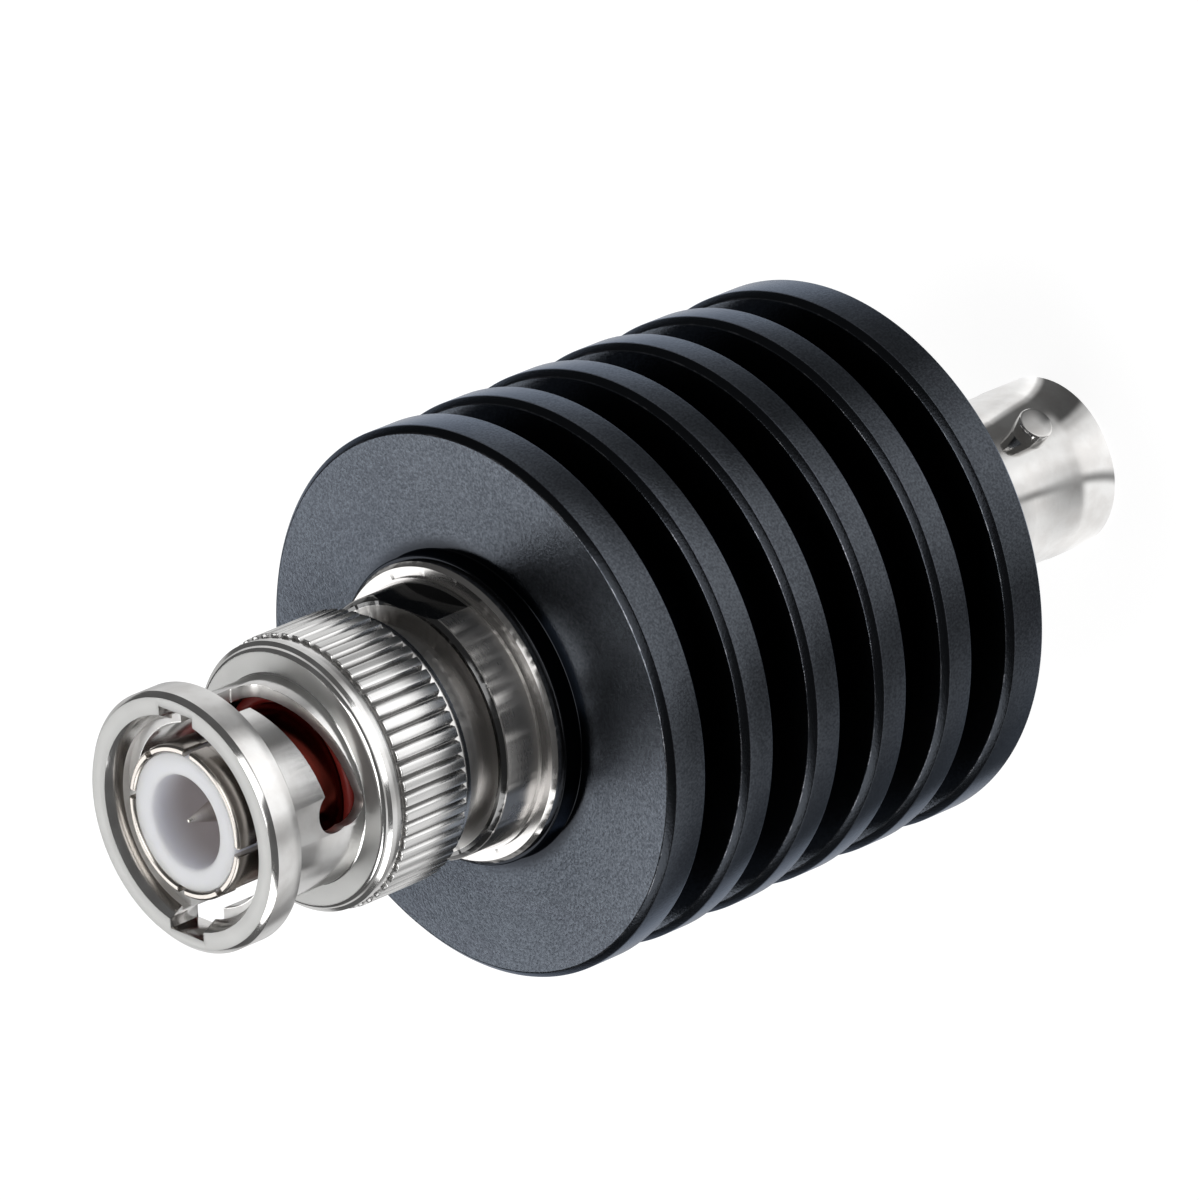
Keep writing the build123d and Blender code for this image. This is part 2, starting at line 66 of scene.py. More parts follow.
def pick(pieces):
    """Only these pieces are selected, and the first one is active."""
    deselect_all()
    for piece in pieces:
        piece.select_set(True)
    bpy.context.view_layer.objects.active = pieces[0]


def apply_place():
    """The picked pieces' own place, turn and scale go into their meshes."""
    bpy.ops.object.transform_apply(location=True, rotation=True, scale=True)


def start_editing(kind, action="DESELECT"):
    """Edit mode for corners (VERT) or faces (FACE), with none or all of them picked."""
    bpy.ops.object.mode_set(mode="EDIT")
    bpy.ops.mesh.select_mode(type=kind)
    bpy.ops.mesh.select_all(action=action)


def end_editing():
    """Every face is turned outward, and the piece is back in Object mode."""
    bpy.ops.mesh.select_all(action="SELECT")
    bpy.ops.mesh.normals_make_consistent(inside=False)
    bpy.ops.object.mode_set(mode="OBJECT")


def turn_on_lathe(name, rings, steps=256, closed=True):
    """A circle is carried along the (radius, height) rings, and the last one is joined to the first."""
    deselect_all()
    radius, height = rings[0]
    bpy.ops.mesh.primitive_circle_add(vertices=steps, radius=radius, location=(0, 0, height))
    piece = bpy.context.object
    piece.name = name
    start_editing("VERT", "SELECT")
    if closed:
        rings = rings + rings[:1]
    for next_radius, next_height in rings[1:]:
        rise = (0, 0, next_height - height)
        bpy.ops.mesh.extrude_region_move(TRANSFORM_OT_translate={"value": rise})
        spread = next_radius / radius
        bpy.ops.transform.resize(value=(spread, spread, 1), center_override=(0, 0, next_height))
        radius, height = next_radius, next_height
    bpy.ops.mesh.select_all(action="SELECT")
    bpy.ops.mesh.remove_doubles(threshold=weld_distance)
    if not closed:
        bpy.ops.mesh.fill_holes(sides=0)
    end_editing()
    apply_place()
    return piece


def finish_modifier(piece, modifier):
    bpy.context.view_layer.objects.active = piece
    bpy.ops.object.modifier_apply(modifier=modifier.name)


def break_corners(piece, width, segments=2, angle=32):
    """The tiny radius that every machined corner has, and smooth shading between corners."""
    bevel = piece.modifiers.new("corners", "BEVEL")
    bevel.width = width
    bevel.segments = segments
    bevel.limit_method = "ANGLE"
    bevel.angle_limit = math.radians(angle)
    bevel.use_clamp_overlap = True
    finish_modifier(piece, bevel)
    pick([piece])
    bpy.ops.object.shade_smooth_by_angle(angle=math.radians(angle))


def hand_over(piece, body, node, material):
    """The finished piece takes its CAD node's place, body and material slot."""
    piece.data.materials.clear()
    piece.data.materials.append(material)
    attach(piece, body)
    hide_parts(node)


def node_group(name, inputs, outputs):
    """An empty shader node group with (name, kind, value) inputs and (name, kind) outputs."""
    group = bpy.data.node_groups.new(name, "ShaderNodeTree")
    for label, kind, value in inputs:
        socket = group.interface.new_socket(name=label, in_out="INPUT", socket_type=kind)
        socket.default_value = value
    for label, kind in outputs:
        group.interface.new_socket(name=label, in_out="OUTPUT", socket_type=kind)
    return group, group.nodes.new("NodeGroupInput"), group.nodes.new("NodeGroupOutput")


def put(tree, value, socket):
    """A socket is linked to another one, or takes a plain value."""
    if hasattr(value, "links"):
        tree.links.new(value, socket)
    else:
        socket.default_value = value


def calculate(tree, operation, first, second=0.0, third=None, clamp=False):
    """A Math node whose inputs are either sockets or numbers. Its result socket comes back."""
    node = tree.nodes.new("ShaderNodeMath")
    node.operation = operation
    node.use_clamp = clamp
    for socket, value in zip(node.inputs, (first, second, third)):
        if value is not None:
            put(tree, value, socket)
    return node.outputs[0]


def between(tree, value, low, high, out_low=0.0, out_high=1.0):
    """A smooth step of value from low to high."""
    node = tree.nodes.new("ShaderNodeMapRange")
    node.interpolation_type = "SMOOTHSTEP"
    tree.links.new(value, node.inputs["Value"])
    for label, number in (("From Min", low), ("From Max", high), ("To Min", out_low), ("To Max", out_high)):
        node.inputs[label].default_value = number
    return node.outputs["Result"]


def band_between(tree, value, rise, fall, level=1.0):
    """A mask that climbs to a level over the rise (low, high) and drops to nothing over the fall."""
    return calculate(tree, "MULTIPLY", between(tree, value, *rise, 0.0, level),
                     between(tree, value, *fall, 1.0, 0.0))


def blend_colours(tree, factor, first, second):
    """A colour mix. The factor is a socket, and each colour is a socket or three numbers."""
    node = tree.nodes.new("ShaderNodeMix")
    node.data_type = "RGBA"
    tree.links.new(factor, node.inputs["Factor"])
    for label, value in (("A", first), ("B", second)):
        socket = [s for s in node.inputs if s.name == label and s.type == "RGBA"][0]
        put(tree, value if hasattr(value, "links") else (*value, 1), socket)
    return [s for s in node.outputs if s.type == "RGBA"][0]


def noise(tree, vector, scale, detail=2.0, roughness=0.5):
    """Noise in cells per metre (a socket or a number) of a vector socket. Its value socket comes back."""
    node = tree.nodes.new("ShaderNodeTexNoise")
    tree.links.new(vector, node.inputs["Vector"])
    put(tree, scale, node.inputs["Scale"])
    node.inputs["Detail"].default_value = detail
    node.inputs["Roughness"].default_value = roughness
    return node.outputs["Fac"]


def new_material(name):
    """A material with an empty Principled surface. Its tree, surface and Object coordinates come back."""
    material = bpy.data.materials.new(name)
    material.use_nodes = True
    tree = material.node_tree
    surface = tree.nodes["Principled BSDF"]
    place = tree.nodes.new("ShaderNodeTexCoord").outputs["Object"]
    return material, tree, surface, place


def split(tree, place):
    """The X, Y and Z sockets of a vector socket."""
    parts = tree.nodes.new("ShaderNodeSeparateXYZ")
    tree.links.new(place, parts.inputs[0])
    return parts.outputs


def use_group(tree, group, place, **values):
    """A group placed in a material's tree, reading its place, with its own values."""
    node = tree.nodes.new("ShaderNodeGroup")
    node.node_tree = group
    tree.links.new(place, node.inputs["Place"])
    for label, value in values.items():
        node.inputs[label.replace("_", " ").capitalize()].default_value = value
    return node


def axis_reach(tree, place):
    """How far a place is from the axis."""
    return use_group(tree, axis_distance, place).outputs["Radius"]


def paint(tree, surface, colour, roughness, metallic=1.0):
    """A surface takes its colour from a socket, and its roughness from a socket or a number."""
    tree.links.new(colour, surface.inputs["Base Color"])
    put(tree, roughness, surface.inputs["Roughness"])
    surface.inputs["Metallic"].default_value = metallic


def add_bump(tree, surface, height, distance, strength=1.0):
    """A Bump node from a height socket to the surface's Normal, with its depth in metres."""
    bump = tree.nodes.new("ShaderNodeBump")
    bump.inputs["Distance"].default_value = distance
    bump.inputs["Strength"].default_value = strength
    tree.links.new(height, bump.inputs["Height"])
    tree.links.new(bump.outputs["Normal"], surface.inputs["Normal"])
    return bump


sink_low, sink_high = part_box("heatsink")
sink_radius = sink_high.x
core_radius = 9.5 * mm
boss_radius = 8.42 * mm
boss_height = 1.13 * mm
end_plate = 2.75 * mm
fin_thick = 2.3 * mm
fin_gap = 2.58 * mm
rim_bevel = 0.35 * mm
sink_bore = 6.0 * mm
spigot_socket = 7.05 * mm
socket_depth = 7.4 * mm
seal_groove = 0.72 * mm
groove_radius = 7.97 * mm
sink_edge = 0.06 * mm
thin_fins = 4
large_steps = 320

fin_starts = [sink_low.z + boss_height]
for index in range(thin_fins):
    fin_starts.append(sink_low.z + boss_height + end_plate + fin_gap + index * (fin_thick + fin_gap))
fin_starts.append(sink_high.z - boss_height - end_plate)

sink_rings = [(boss_radius, sink_low.z)]
root_radius = boss_radius
for fin_start in fin_starts:
    thick = end_plate if fin_start in (fin_starts[0], fin_starts[-1]) else fin_thick
    sink_rings += [(root_radius, fin_start), (sink_radius - rim_bevel, fin_start),
                   (sink_radius, fin_start + rim_bevel), (sink_radius, fin_start + thick - rim_bevel),
                   (sink_radius - rim_bevel, fin_start + thick)]
    root_radius = core_radius
    sink_rings.append((core_radius if fin_start != fin_starts[-1] else boss_radius, fin_start + thick))
sink_rings.append((boss_radius, sink_high.z))
for face, inward in ((sink_high.z, -1), (sink_low.z, 1)):
    mouth = [(groove_radius, face), (groove_radius, face + inward * seal_groove),
             (spigot_socket, face + inward * seal_groove), (spigot_socket, face + inward * socket_depth),
             (sink_bore, face + inward * socket_depth)]
    sink_rings += mouth if inward < 0 else mouth[::-1]
heatsink = turn_on_lathe("heatsink_body", sink_rings, large_steps)
break_corners(heatsink, sink_edge, segments=3)

# how far a point is from the axis
axis_distance, group_in, group_out = node_group(
    "distance from the axis", [("Place", "NodeSocketVector", (0, 0, 0))], [("Radius", "NodeSocketFloat")])
parts = split(axis_distance, group_in.outputs["Place"])
squares = calculate(axis_distance, "MULTIPLY_ADD", parts["X"], parts["X"],
                    calculate(axis_distance, "MULTIPLY", parts["Y"], parts["Y"]))
axis_distance.links.new(calculate(axis_distance, "SQRT", squares), group_out.inputs["Radius"])

# bead-blasted grain: fine pits and broader clouds
blasted_grain, group_in, group_out = node_group(
    "blasted grain",
    [("Place", "NodeSocketVector", (0, 0, 0)), ("Pit size", "NodeSocketFloat", 0.06 * mm)],
    [("Height", "NodeSocketFloat"), ("Cloud", "NodeSocketFloat")])
clouds_per_metre = 260.0
pit_scale = calculate(blasted_grain, "DIVIDE", 1.0, group_in.outputs["Pit size"])
pits = noise(blasted_grain, group_in.outputs["Place"], pit_scale, 3.0)
clouds = noise(blasted_grain, group_in.outputs["Place"], clouds_per_metre, 3.0)
blasted_grain.links.new(pits, group_out.inputs["Height"])
blasted_grain.links.new(clouds, group_out.inputs["Cloud"])

black_anodised, tree, surface, place = new_material("black anodised, bead blasted")
anodised_black = (0.049, 0.054, 0.063)
anodised_grey = (0.096, 0.107, 0.123)
smooth_land_and_painted_shade = (0.016, 0.017, 0.019)
bevel_black = (0.028, 0.031, 0.036)
rubbed_corner = (0.15, 0.155, 0.17)
anodised_pits = 0.13 * mm
scuffs_per_metre = 900.0
smooth_edge = 8.5 * mm
blasted_edge = 9.6 * mm
line_core = 0.02 * mm
line_fade = 0.05 * mm
grain = use_group(tree, blasted_grain, place, pit_size=anodised_pits)
reach = axis_reach(tree, place)
bevel_edge = sink_radius - rim_bevel
edge_line = band_between(tree, reach, (bevel_edge - line_fade, bevel_edge - line_core),
                         (bevel_edge + line_core, bevel_edge + line_fade))
scuffs = between(tree, noise(tree, place, scuffs_per_metre, 4.0, 0.7), 0.48, 0.62)
rubbed = calculate(tree, "MULTIPLY", edge_line, scuffs, clamp=True)
bevel_start = (bevel_edge, bevel_edge + 0.03 * mm)
bevel_end = (sink_radius - 0.04 * mm, sink_radius - 0.01 * mm)
bevelled = band_between(tree, reach, bevel_start, bevel_end)
speckle = calculate(tree, "MULTIPLY_ADD", grain.outputs["Cloud"], 0.25, grain.outputs["Height"])
speckled = blend_colours(tree, between(tree, speckle, 0.40, 0.86), anodised_black, anodised_grey)
speckled = blend_colours(tree, bevelled, speckled, bevel_black)
# round the boss the plate is a smooth land, and its colour there is painted near black as painted shade of
# the plug
blasted = between(tree, reach, smooth_edge, blasted_edge)
worn = blend_colours(tree, rubbed, blend_colours(tree, blasted, smooth_land_and_painted_shade, speckled), rubbed_corner)
gloss = calculate(tree, "MULTIPLY_ADD", grain.outputs["Cloud"], 0.06, 0.10)
paint(tree, surface, worn, calculate(tree, "MULTIPLY_ADD", blasted, 0.10, gloss))
surface.inputs["Specular Tint"].default_value = (0.80, 0.87, 1.0, 1)
smooth_share = 0.12
pit_depth = 0.015 * mm
pits = calculate(tree, "MULTIPLY", grain.outputs["Height"],
                 between(tree, reach, smooth_edge, blasted_edge, smooth_share, 1.0))
add_bump(tree, surface, pits, pit_depth, 0.7)
hand_over(heatsink, "attenuator", "heatsink", black_anodised)


# Flange seals
# Two small O-rings of black nitrile rubber. Each is moulded, and lies in a groove of the heatsink's boss,
# where a connector's flange presses it when its spigot is screwed home.
rubber_black = (0.012, 0.012, 0.013)
rubber_dusty = (0.030, 0.030, 0.031)
rubber_pits = 0.12 * mm
rubber_pit_depth = 0.004 * mm
black_rubber, tree, surface, place = new_material("black seal rubber")
grain = use_group(tree, blasted_grain, place, pit_size=rubber_pits)
paint(tree, surface, blend_colours(tree, grain.outputs["Cloud"], rubber_black, rubber_dusty), 0.55,
      metallic=0.0)
add_bump(tree, surface, grain.outputs["Height"], rubber_pit_depth, 0.5)


def dress_node(node, material):
    """A CAD node whose own mesh is shown gets its material."""
    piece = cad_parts[node]
    piece.data.materials.clear()
    piece.data.materials.append(material)
    return piece


dress_node("jack_seal", black_rubber)
dress_node("plug_seal", black_rubber)


# Cartridge
# Two half-round shells of plain aluminium, milled with a channel and closed by four steel screws. They
# hold the ceramic chip with its resistive film, and gold-plated foil tabs lead from it to the two rods.
turning_marks, group_in, group_out = node_group(
    "turning marks",
    [("Place", "NodeSocketVector", (0, 0, 0)), ("Spacing", "NodeSocketFloat", 0.03 * mm),
     ("Break up", "NodeSocketFloat", 0.25)],
    [("Height", "NodeSocketFloat"), ("Band", "NodeSocketFloat"), ("Smear", "NodeSocketFloat")])
parts = split(turning_marks, group_in.outputs["Place"])
reach = axis_reach(turning_marks, group_in.outputs["Place"])
grooves_per_metre = calculate(turning_marks, "DIVIDE", 1.0, group_in.outputs["Spacing"])
around = calculate(turning_marks, "ARCTAN2", parts["Y"], parts["X"])
groove_place = turning_marks.nodes.new("ShaderNodeCombineXYZ")
turning_marks.links.new(calculate(turning_marks, "MULTIPLY", reach, grooves_per_metre),
                        groove_place.inputs["X"])
turning_marks.links.new(calculate(turning_marks, "MULTIPLY", parts["Z"], grooves_per_metre),
                        groove_place.inputs["Y"])
turning_marks.links.new(calculate(turning_marks, "MULTIPLY", calculate(turning_marks, "SINE", around),
                                  group_in.outputs["Break up"]), groove_place.inputs["Z"])
wide_share = 0.16
smears_per_metre = 700.0
fine_grooves = noise(turning_marks, groove_place.outputs["Vector"], 1.0, 2.0, 0.6)
wide_grooves = noise(turning_marks, groove_place.outputs["Vector"], wide_share, 1.0)
smears = noise(turning_marks, group_in.outputs["Place"], smears_per_metre, 3.0)
turning_marks.links.new(fine_grooves, group_out.inputs["Height"])
turning_marks.links.new(wide_grooves, group_out.inputs["Band"])
turning_marks.links.new(smears, group_out.inputs["Smear"])


def turned_metal(name, dark, light, roughness, spacing, depth, smear=0.04):
    """Bare or plated metal with a lathe tool's marks. Rougher bands and smears change its gloss."""
    material, tree, surface, place = new_material(name)
    marks = use_group(tree, turning_marks, place, spacing=spacing)
    banded = calculate(tree, "MULTIPLY_ADD", marks.outputs["Band"], smear, roughness - smear / 2)
    paint(tree, surface, blend_colours(tree, marks.outputs["Band"], dark, light),
          calculate(tree, "MULTIPLY_ADD", marks.outputs["Smear"], smear, banded))
    add_bump(tree, surface, marks.outputs["Height"], depth)
    return material


plain_aluminium = turned_metal("plain machined aluminium", dark=(0.55, 0.55, 0.55), light=(0.68, 0.68, 0.68),
                               roughness=0.34, spacing=0.05 * mm, depth=0.0008 * mm)
stainless_steel = turned_metal("stainless steel", dark=(0.42, 0.42, 0.43), light=(0.58, 0.58, 0.58),
                               roughness=0.28, spacing=0.04 * mm, depth=0.0006 * mm)
spring_steel = turned_metal("spring steel", dark=(0.30, 0.30, 0.32), light=(0.42, 0.42, 0.44),
                            roughness=0.30, spacing=0.05 * mm, depth=0.0006 * mm)
gold_plate = turned_metal("gold plate", dark=(0.76, 0.55, 0.20), light=(0.88, 0.68, 0.32),
                          roughness=0.20, spacing=0.04 * mm, depth=0.0004 * mm)

ceramic_cream = (0.78, 0.76, 0.72)
ceramic_white = (0.88, 0.87, 0.84)
ceramic_grains_per_metre = 3000.0
chip_ceramic, tree, surface, place = new_material("chip ceramic")
ceramic_grains = noise(tree, place, ceramic_grains_per_metre)
paint(tree, surface, blend_colours(tree, ceramic_grains, ceramic_cream, ceramic_white), 0.42,
      metallic=0.0)

for node in ("chip_carrier", "carrier_cover"):
    dress_node(node, plain_aluminium)
for node in ("input_tab", "output_tab"):
    dress_node(node, gold_plate)
dress_node("carrier_screws", stainless_steel)
dress_node("attenuator_chip", chip_ceramic)


# Jack
# Brass, turned and nickel plated: a bayonet shell with a milled drum, a flange and a threaded spigot in
# one. Two short studs are pressed into the shell, and a white insulator inside holds the slit socket.
nickel_warm = (0.67, 0.655, 0.64)
nickel_pale = (0.77, 0.765, 0.755)
satin_grey = (0.52, 0.52, 0.51)
brushed_grey = (0.48, 0.47, 0.46)
nickel_painted_shade = (0.56, 0.545, 0.53)
flats_painted_reflection = (0.13, 0.13, 0.13)
plate_spacing = 0.022 * mm
plate_relief = 0.00045 * mm
smear_roughness = 0.08
band_roughness = 0.05
satin_roughness = 0.30
peel_size = 0.11 * mm
peel_share = 0.8
brush_spacing = 0.05 * mm
brush_roughness = 0.20
brush_share = 1.6
zone_fade = 0.02 * mm
fine_relief = 0.0004 * mm


def face_band(tree, height, faces, half=0.012 * mm):
    """A mask of the flat faces that lie square to the axis at these heights."""
    mask = None
    for face in faces:
        band = band_between(tree, height, (face - half, face - half / 2), (face + half / 2, face + half))
        mask = band if mask is None else calculate(tree, "MAXIMUM", mask, band)
    return mask


def within(tree, value, low, high):
    """One where a value lies between two limits, and nothing elsewhere."""
    return calculate(tree, "MULTIPLY", calculate(tree, "GREATER_THAN", value, low),
                     calculate(tree, "LESS_THAN", value, high))


def nickel_plate(name, roughness=0.07, brushed=(), satin_faces=(), cut_walls=(), milled=(),
                 shades=(nickel_warm, nickel_pale)):
    """Nickel with faint turning marks and orange peel, in two shades. It is brushed round the axis in
    (near, far, strength) zones. Where milled flats are given, the whole piece is a darker nickel as
    painted shade, and the flats between two radii are painted dark as a painted reflection. Flat faces
    at some heights are satin, and so are the walls of cuts, given as their bore, their skin and their top."""
    material, tree, surface, place = new_material(name)
    marks = use_group(tree, turning_marks, place, spacing=plate_spacing, break_up=0.6)
    smear = marks.outputs["Smear"]
    reach = axis_reach(tree, place)
    colour = blend_colours(tree, between(tree, smear, 0.3, 0.7), *shades)
    if milled:
        # painted shade: with milled flats the whole body takes a darker nickel than the jack's
        body_painted_shade = blend_colours(tree, smear, nickel_painted_shade, brushed_grey)
        # painted reflection: the milled flats between two radii are painted dark
        colour = blend_colours(tree, within(tree, reach, *milled), body_painted_shade, flats_painted_reflection)
    gloss = calculate(tree, "MULTIPLY_ADD", smear, smear_roughness, roughness)
    gloss = calculate(tree, "MULTIPLY_ADD", marks.outputs["Band"], band_roughness, gloss)
    if satin_faces:
        height = split(tree, place)["Z"]
        satin = face_band(tree, height, satin_faces)
        wall_bore, wall_skin, wall_top = cut_walls
        wall = calculate(tree, "MULTIPLY", within(tree, reach, wall_bore, wall_skin),
                         calculate(tree, "LESS_THAN", height, wall_top))
        colour = blend_colours(tree, satin, colour, satin_grey)
        satin = calculate(tree, "MAXIMUM", satin, wall)
        gloss = calculate(tree, "MULTIPLY_ADD", satin, satin_roughness, gloss)
    peel = use_group(tree, blasted_grain, place, pit_size=peel_size).outputs["Height"]
    relief = calculate(tree, "MULTIPLY_ADD", peel, peel_share, marks.outputs["Height"])
    if brushed:
        brush = use_group(tree, turning_marks, place, spacing=brush_spacing, break_up=0.3)
        ring = None
        for near, far, strength in brushed:
            zone = band_between(tree, reach, (near - zone_fade, near), (far, far + zone_fade), strength)
            ring = zone if ring is None else calculate(tree, "ADD", ring, zone, clamp=True)
        streak = between(tree, brush.outputs["Height"], 0.42, 0.62)
        colour = blend_colours(tree, calculate(tree, "MULTIPLY", ring, streak), colour, brushed_grey)
        gloss = calculate(tree, "MULTIPLY_ADD", ring, brush_roughness, gloss)
        depth = calculate(tree, "MULTIPLY", ring, brush_share)
        relief = calculate(tree, "MULTIPLY_ADD", brush.outputs["Height"], depth, relief)
    paint(tree, surface, colour, gloss)
    add_bump(tree, surface, relief, plate_relief)
    return material


drum_skin = 7.17 * mm
flange_edge = 8.3 * mm
bright_nickel = nickel_plate("bright nickel plate")
brushed_nickel = nickel_plate("nickel plate with a brushed drum", roughness=0.015,
                              brushed=((drum_skin, flange_edge, 0.45),))

shell_radius = 4.825 * mm
shell_length = 11.87 * mm
shell_round = 0.3 * mm
shell_bore = 4.15 * mm
shell_depth = 8.4 * mm
shell_mouth_bevel = 0.12 * mm
band_slope = 0.14 * mm
band_radius = 4.785 * mm
band_low = 2.75 * mm
band_high = 6.25 * mm
line_bore = 3.5 * mm
flange_radius = 8.2 * mm
flange_thick = 0.55 * mm
flange_bevel = 0.22 * mm
root_step_radius = 7.45 * mm
root_step = 0.22 * mm
drum_radius = 7.2 * mm
drum_length = 2.6 * mm
drum_bevel = 0.26 * mm
across_flats = 13.5 * mm
spigot_radius = 7.0 * mm
thread_pitch = 0.9 * mm
thread_depth = 0.25 * mm
thread_turns = 7
thread_relief = 0.9
turned_edge = 0.035 * mm
overlap = 0.001 * mm

jack_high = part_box("jack_shell")[1]
drum_top = shell_length + drum_length
flange_top = drum_top + flange_thick


def rounded_corner(radius, height, size, turns_up, turns_in, steps=4):
    """Rings round an outer corner of that radius and height, with a quarter circle of the given size."""
    rings = []
    for index in range(steps + 1):
        angle = math.pi / 2 * index / steps
        out, along = size * math.cos(angle), size * math.sin(angle)
        rings.append((radius - size + out, height - turns_up * size + turns_up * along))
    return rings if turns_in else rings[::-1]


jack_rings = rounded_corner(shell_radius, 0, shell_round, -1, False, 5)
jack_rings += [(shell_radius, band_low), (band_radius, band_low + band_slope), (band_radius, band_high),
               (shell_radius, band_high + band_slope), (shell_radius, shell_length),
               (drum_radius - drum_bevel, shell_length), (drum_radius, shell_length + drum_bevel),
               (drum_radius, drum_top - root_step), (root_step_radius, drum_top - root_step),
               (root_step_radius, drum_top), (flange_radius - flange_bevel, drum_top),
               (flange_radius, drum_top + flange_bevel), (flange_radius, flange_top),
               (spigot_radius, flange_top)]
for index in range(thread_turns):
    crest = flange_top + (index + thread_relief) * thread_pitch
    jack_rings += [(spigot_radius - thread_depth, crest - thread_pitch / 2), (spigot_radius, crest)]
jack_rings += [(spigot_radius - thread_depth, jack_high.z), (line_bore, jack_high.z),
               (line_bore, shell_depth), (shell_bore, shell_depth), (shell_bore, shell_mouth_bevel),
               (shell_bore + shell_mouth_bevel, 0)]
jack_shell = turn_on_lathe("bayonet_jack_shell", jack_rings)


def add_block(name, low, high):
    """A cutter: a cube between two corners."""
    deselect_all()
    centre = [(a + b) / 2 for a, b in zip(low, high)]
    bpy.ops.mesh.primitive_cube_add(size=1, location=centre)
    block = bpy.context.object
    block.name = name
    block.scale = [b - a for a, b in zip(low, high)]
    apply_place()
    return block


def mill_away(piece, cutters):
    """Each cutter's shape is taken out of the piece, and the cutter is thrown away."""
    for cutter in cutters:
        cut = piece.modifiers.new("milling", "BOOLEAN")
        cut.operation = "DIFFERENCE"
        cut.solver = "EXACT"
        cut.object = cutter
        finish_modifier(piece, cut)
        bpy.data.objects.remove(cutter)


def mill_flats(piece, low, high):
    """The two wrench flats of a drum, square to X."""
    outside = drum_radius + mm
    half = across_flats / 2
    mill_away(piece, [add_block("flat", (half, -outside, low), (outside, outside, high)),
                      add_block("flat", (-outside, -outside, low), (-half, outside, high))])


mill_flats(jack_shell, shell_length - overlap, drum_top - root_step)
break_corners(jack_shell, turned_edge)
hand_over(jack_shell, "attenuator", "jack_shell", brushed_nickel)

stud_radius = 0.99 * mm
stud_reach = 5.75 * mm
stud_root = 4.36 * mm
stud_height = 4.7 * mm
stud_round = 0.15 * mm
stud_turn = math.radians(-36.7)
small_steps = 64
quarter_turn = math.radians(90)
studs = []
for turn in (stud_turn, stud_turn + math.pi):
    stud = turn_on_lathe("stud", [(stud_radius, stud_root), (stud_radius, stud_reach)], small_steps,
                         closed=False)
    stud.rotation_euler = (0, quarter_turn, turn)
    stud.location = (0, 0, stud_height)
    studs.append(stud)
pick(studs)
apply_place()
bpy.ops.object.join()
studs[0].name = "bayonet_stud_pair"
break_corners(studs[0], stud_round, segments=3)
hand_over(studs[0], "attenuator", "bayonet_studs", bright_nickel)

ptfe_white = (0.85, 0.86, 0.92)
ptfe_shade = (0.82, 0.83, 0.89)
ptfe_painted_shade = (0.50, 0.465, 0.475)
ptfe_scatter = (1.3 * mm, 1.3 * mm, 1.4 * mm)
ptfe_spacing = 0.05 * mm
ptfe_relief = 0.0002 * mm


def white_plastic(name, bore_radius=None, bore_mouth=0.0, shaded_over=mm):
    """Turned white fluoroplastic. Down a bore its colour is painted darker as painted shade, over some depth
    below the mouth.
    """
    material, tree, surface, place = new_material(name)
    marks = use_group(tree, turning_marks, place, spacing=ptfe_spacing)
    colour = blend_colours(tree, marks.outputs["Smear"], ptfe_white, ptfe_shade)
    if bore_radius:
        height = split(tree, place)["Z"]
        reach = axis_reach(tree, place)
        # painted shade: the bore's wall is painted darker with depth below its mouth
        deep = between(tree, height, bore_mouth - shaded_over, bore_mouth, 1.0, 0.0)
        deep = calculate(tree, "MULTIPLY", deep, calculate(tree, "LESS_THAN", reach, bore_radius))
        colour = blend_colours(tree, deep, colour, ptfe_painted_shade)
    paint(tree, surface, colour, calculate(tree, "MULTIPLY_ADD", marks.outputs["Smear"], 0.12, 0.42),
          metallic=0.0)
    surface.inputs["Subsurface Weight"].default_value = 1.0
    surface.inputs["Subsurface Radius"].default_value = ptfe_scatter
    surface.inputs["Subsurface Scale"].default_value = 1.0
    add_bump(tree, surface, marks.outputs["Height"], ptfe_relief)
    return material


white_insulator = white_plastic("white insulator")

nose_low, nose_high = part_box("jack_insulator")
socket_low, socket_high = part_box("jack_socket")
nose_radius = 2.35 * mm
socket_radius = 1.1 * mm
socket_bore = 0.69 * mm
socket_bore_depth = 6.5 * mm
socket_slit = 0.25 * mm
foot_radius = nose_high.x
play = 0.02 * mm
plastic_edge = 0.06 * mm
jack_insulator = turn_on_lathe("jack_white_insulator", [
    (nose_radius, nose_low.z), (nose_radius, shell_depth), (foot_radius, shell_depth),
    (foot_radius, nose_high.z), (socket_radius + play, nose_high.z),
    (socket_radius + play, nose_low.z)], 128)
break_corners(jack_insulator, plastic_edge)
hand_over(jack_insulator, "attenuator", "jack_insulator", white_insulator)

rod_radius = 0.9 * mm
rod_flat_length = 2 * mm
socket_length = 10.4 * mm
socket_bevel = 0.12 * mm
socket_mouth_bevel = 0.1 * mm
drill_point = 0.3 * mm
axis_gap = 0.02 * mm
socket_edge = 0.02 * mm
socket_floor = socket_low.z + socket_bore_depth
jack_socket = turn_on_lathe("jack_slit_socket", [
    (socket_radius - socket_bevel, socket_low.z), (socket_radius, socket_low.z + socket_bevel),
    (socket_radius, socket_low.z + socket_length), (rod_radius, socket_low.z + socket_length),
    (rod_radius, socket_high.z), (axis_gap, socket_high.z), (axis_gap, socket_floor),
    (socket_bore, socket_floor - drill_point), (socket_bore, socket_low.z + socket_mouth_bevel),
    (socket_bore + socket_mouth_bevel, socket_low.z)], 96)
slit_low, slit_top = socket_low.z - mm, socket_floor - 2 * socket_bore
wide, thin = 2 * socket_radius, socket_slit / 2
mill_away(jack_socket, [add_block("slit", (-wide, -thin, slit_low), (wide, thin, slit_top)),
                        add_block("slit", (-thin, -wide, slit_low), (thin, wide, slit_top)),
                        add_block("rod flat", (-wide, 0, socket_high.z - rod_flat_length),
                                  (wide, wide, socket_high.z + mm))])
break_corners(jack_socket, socket_edge)
hand_over(jack_socket, "attenuator", "jack_socket", gold_plate)
dress_node("jack_bead", white_insulator)


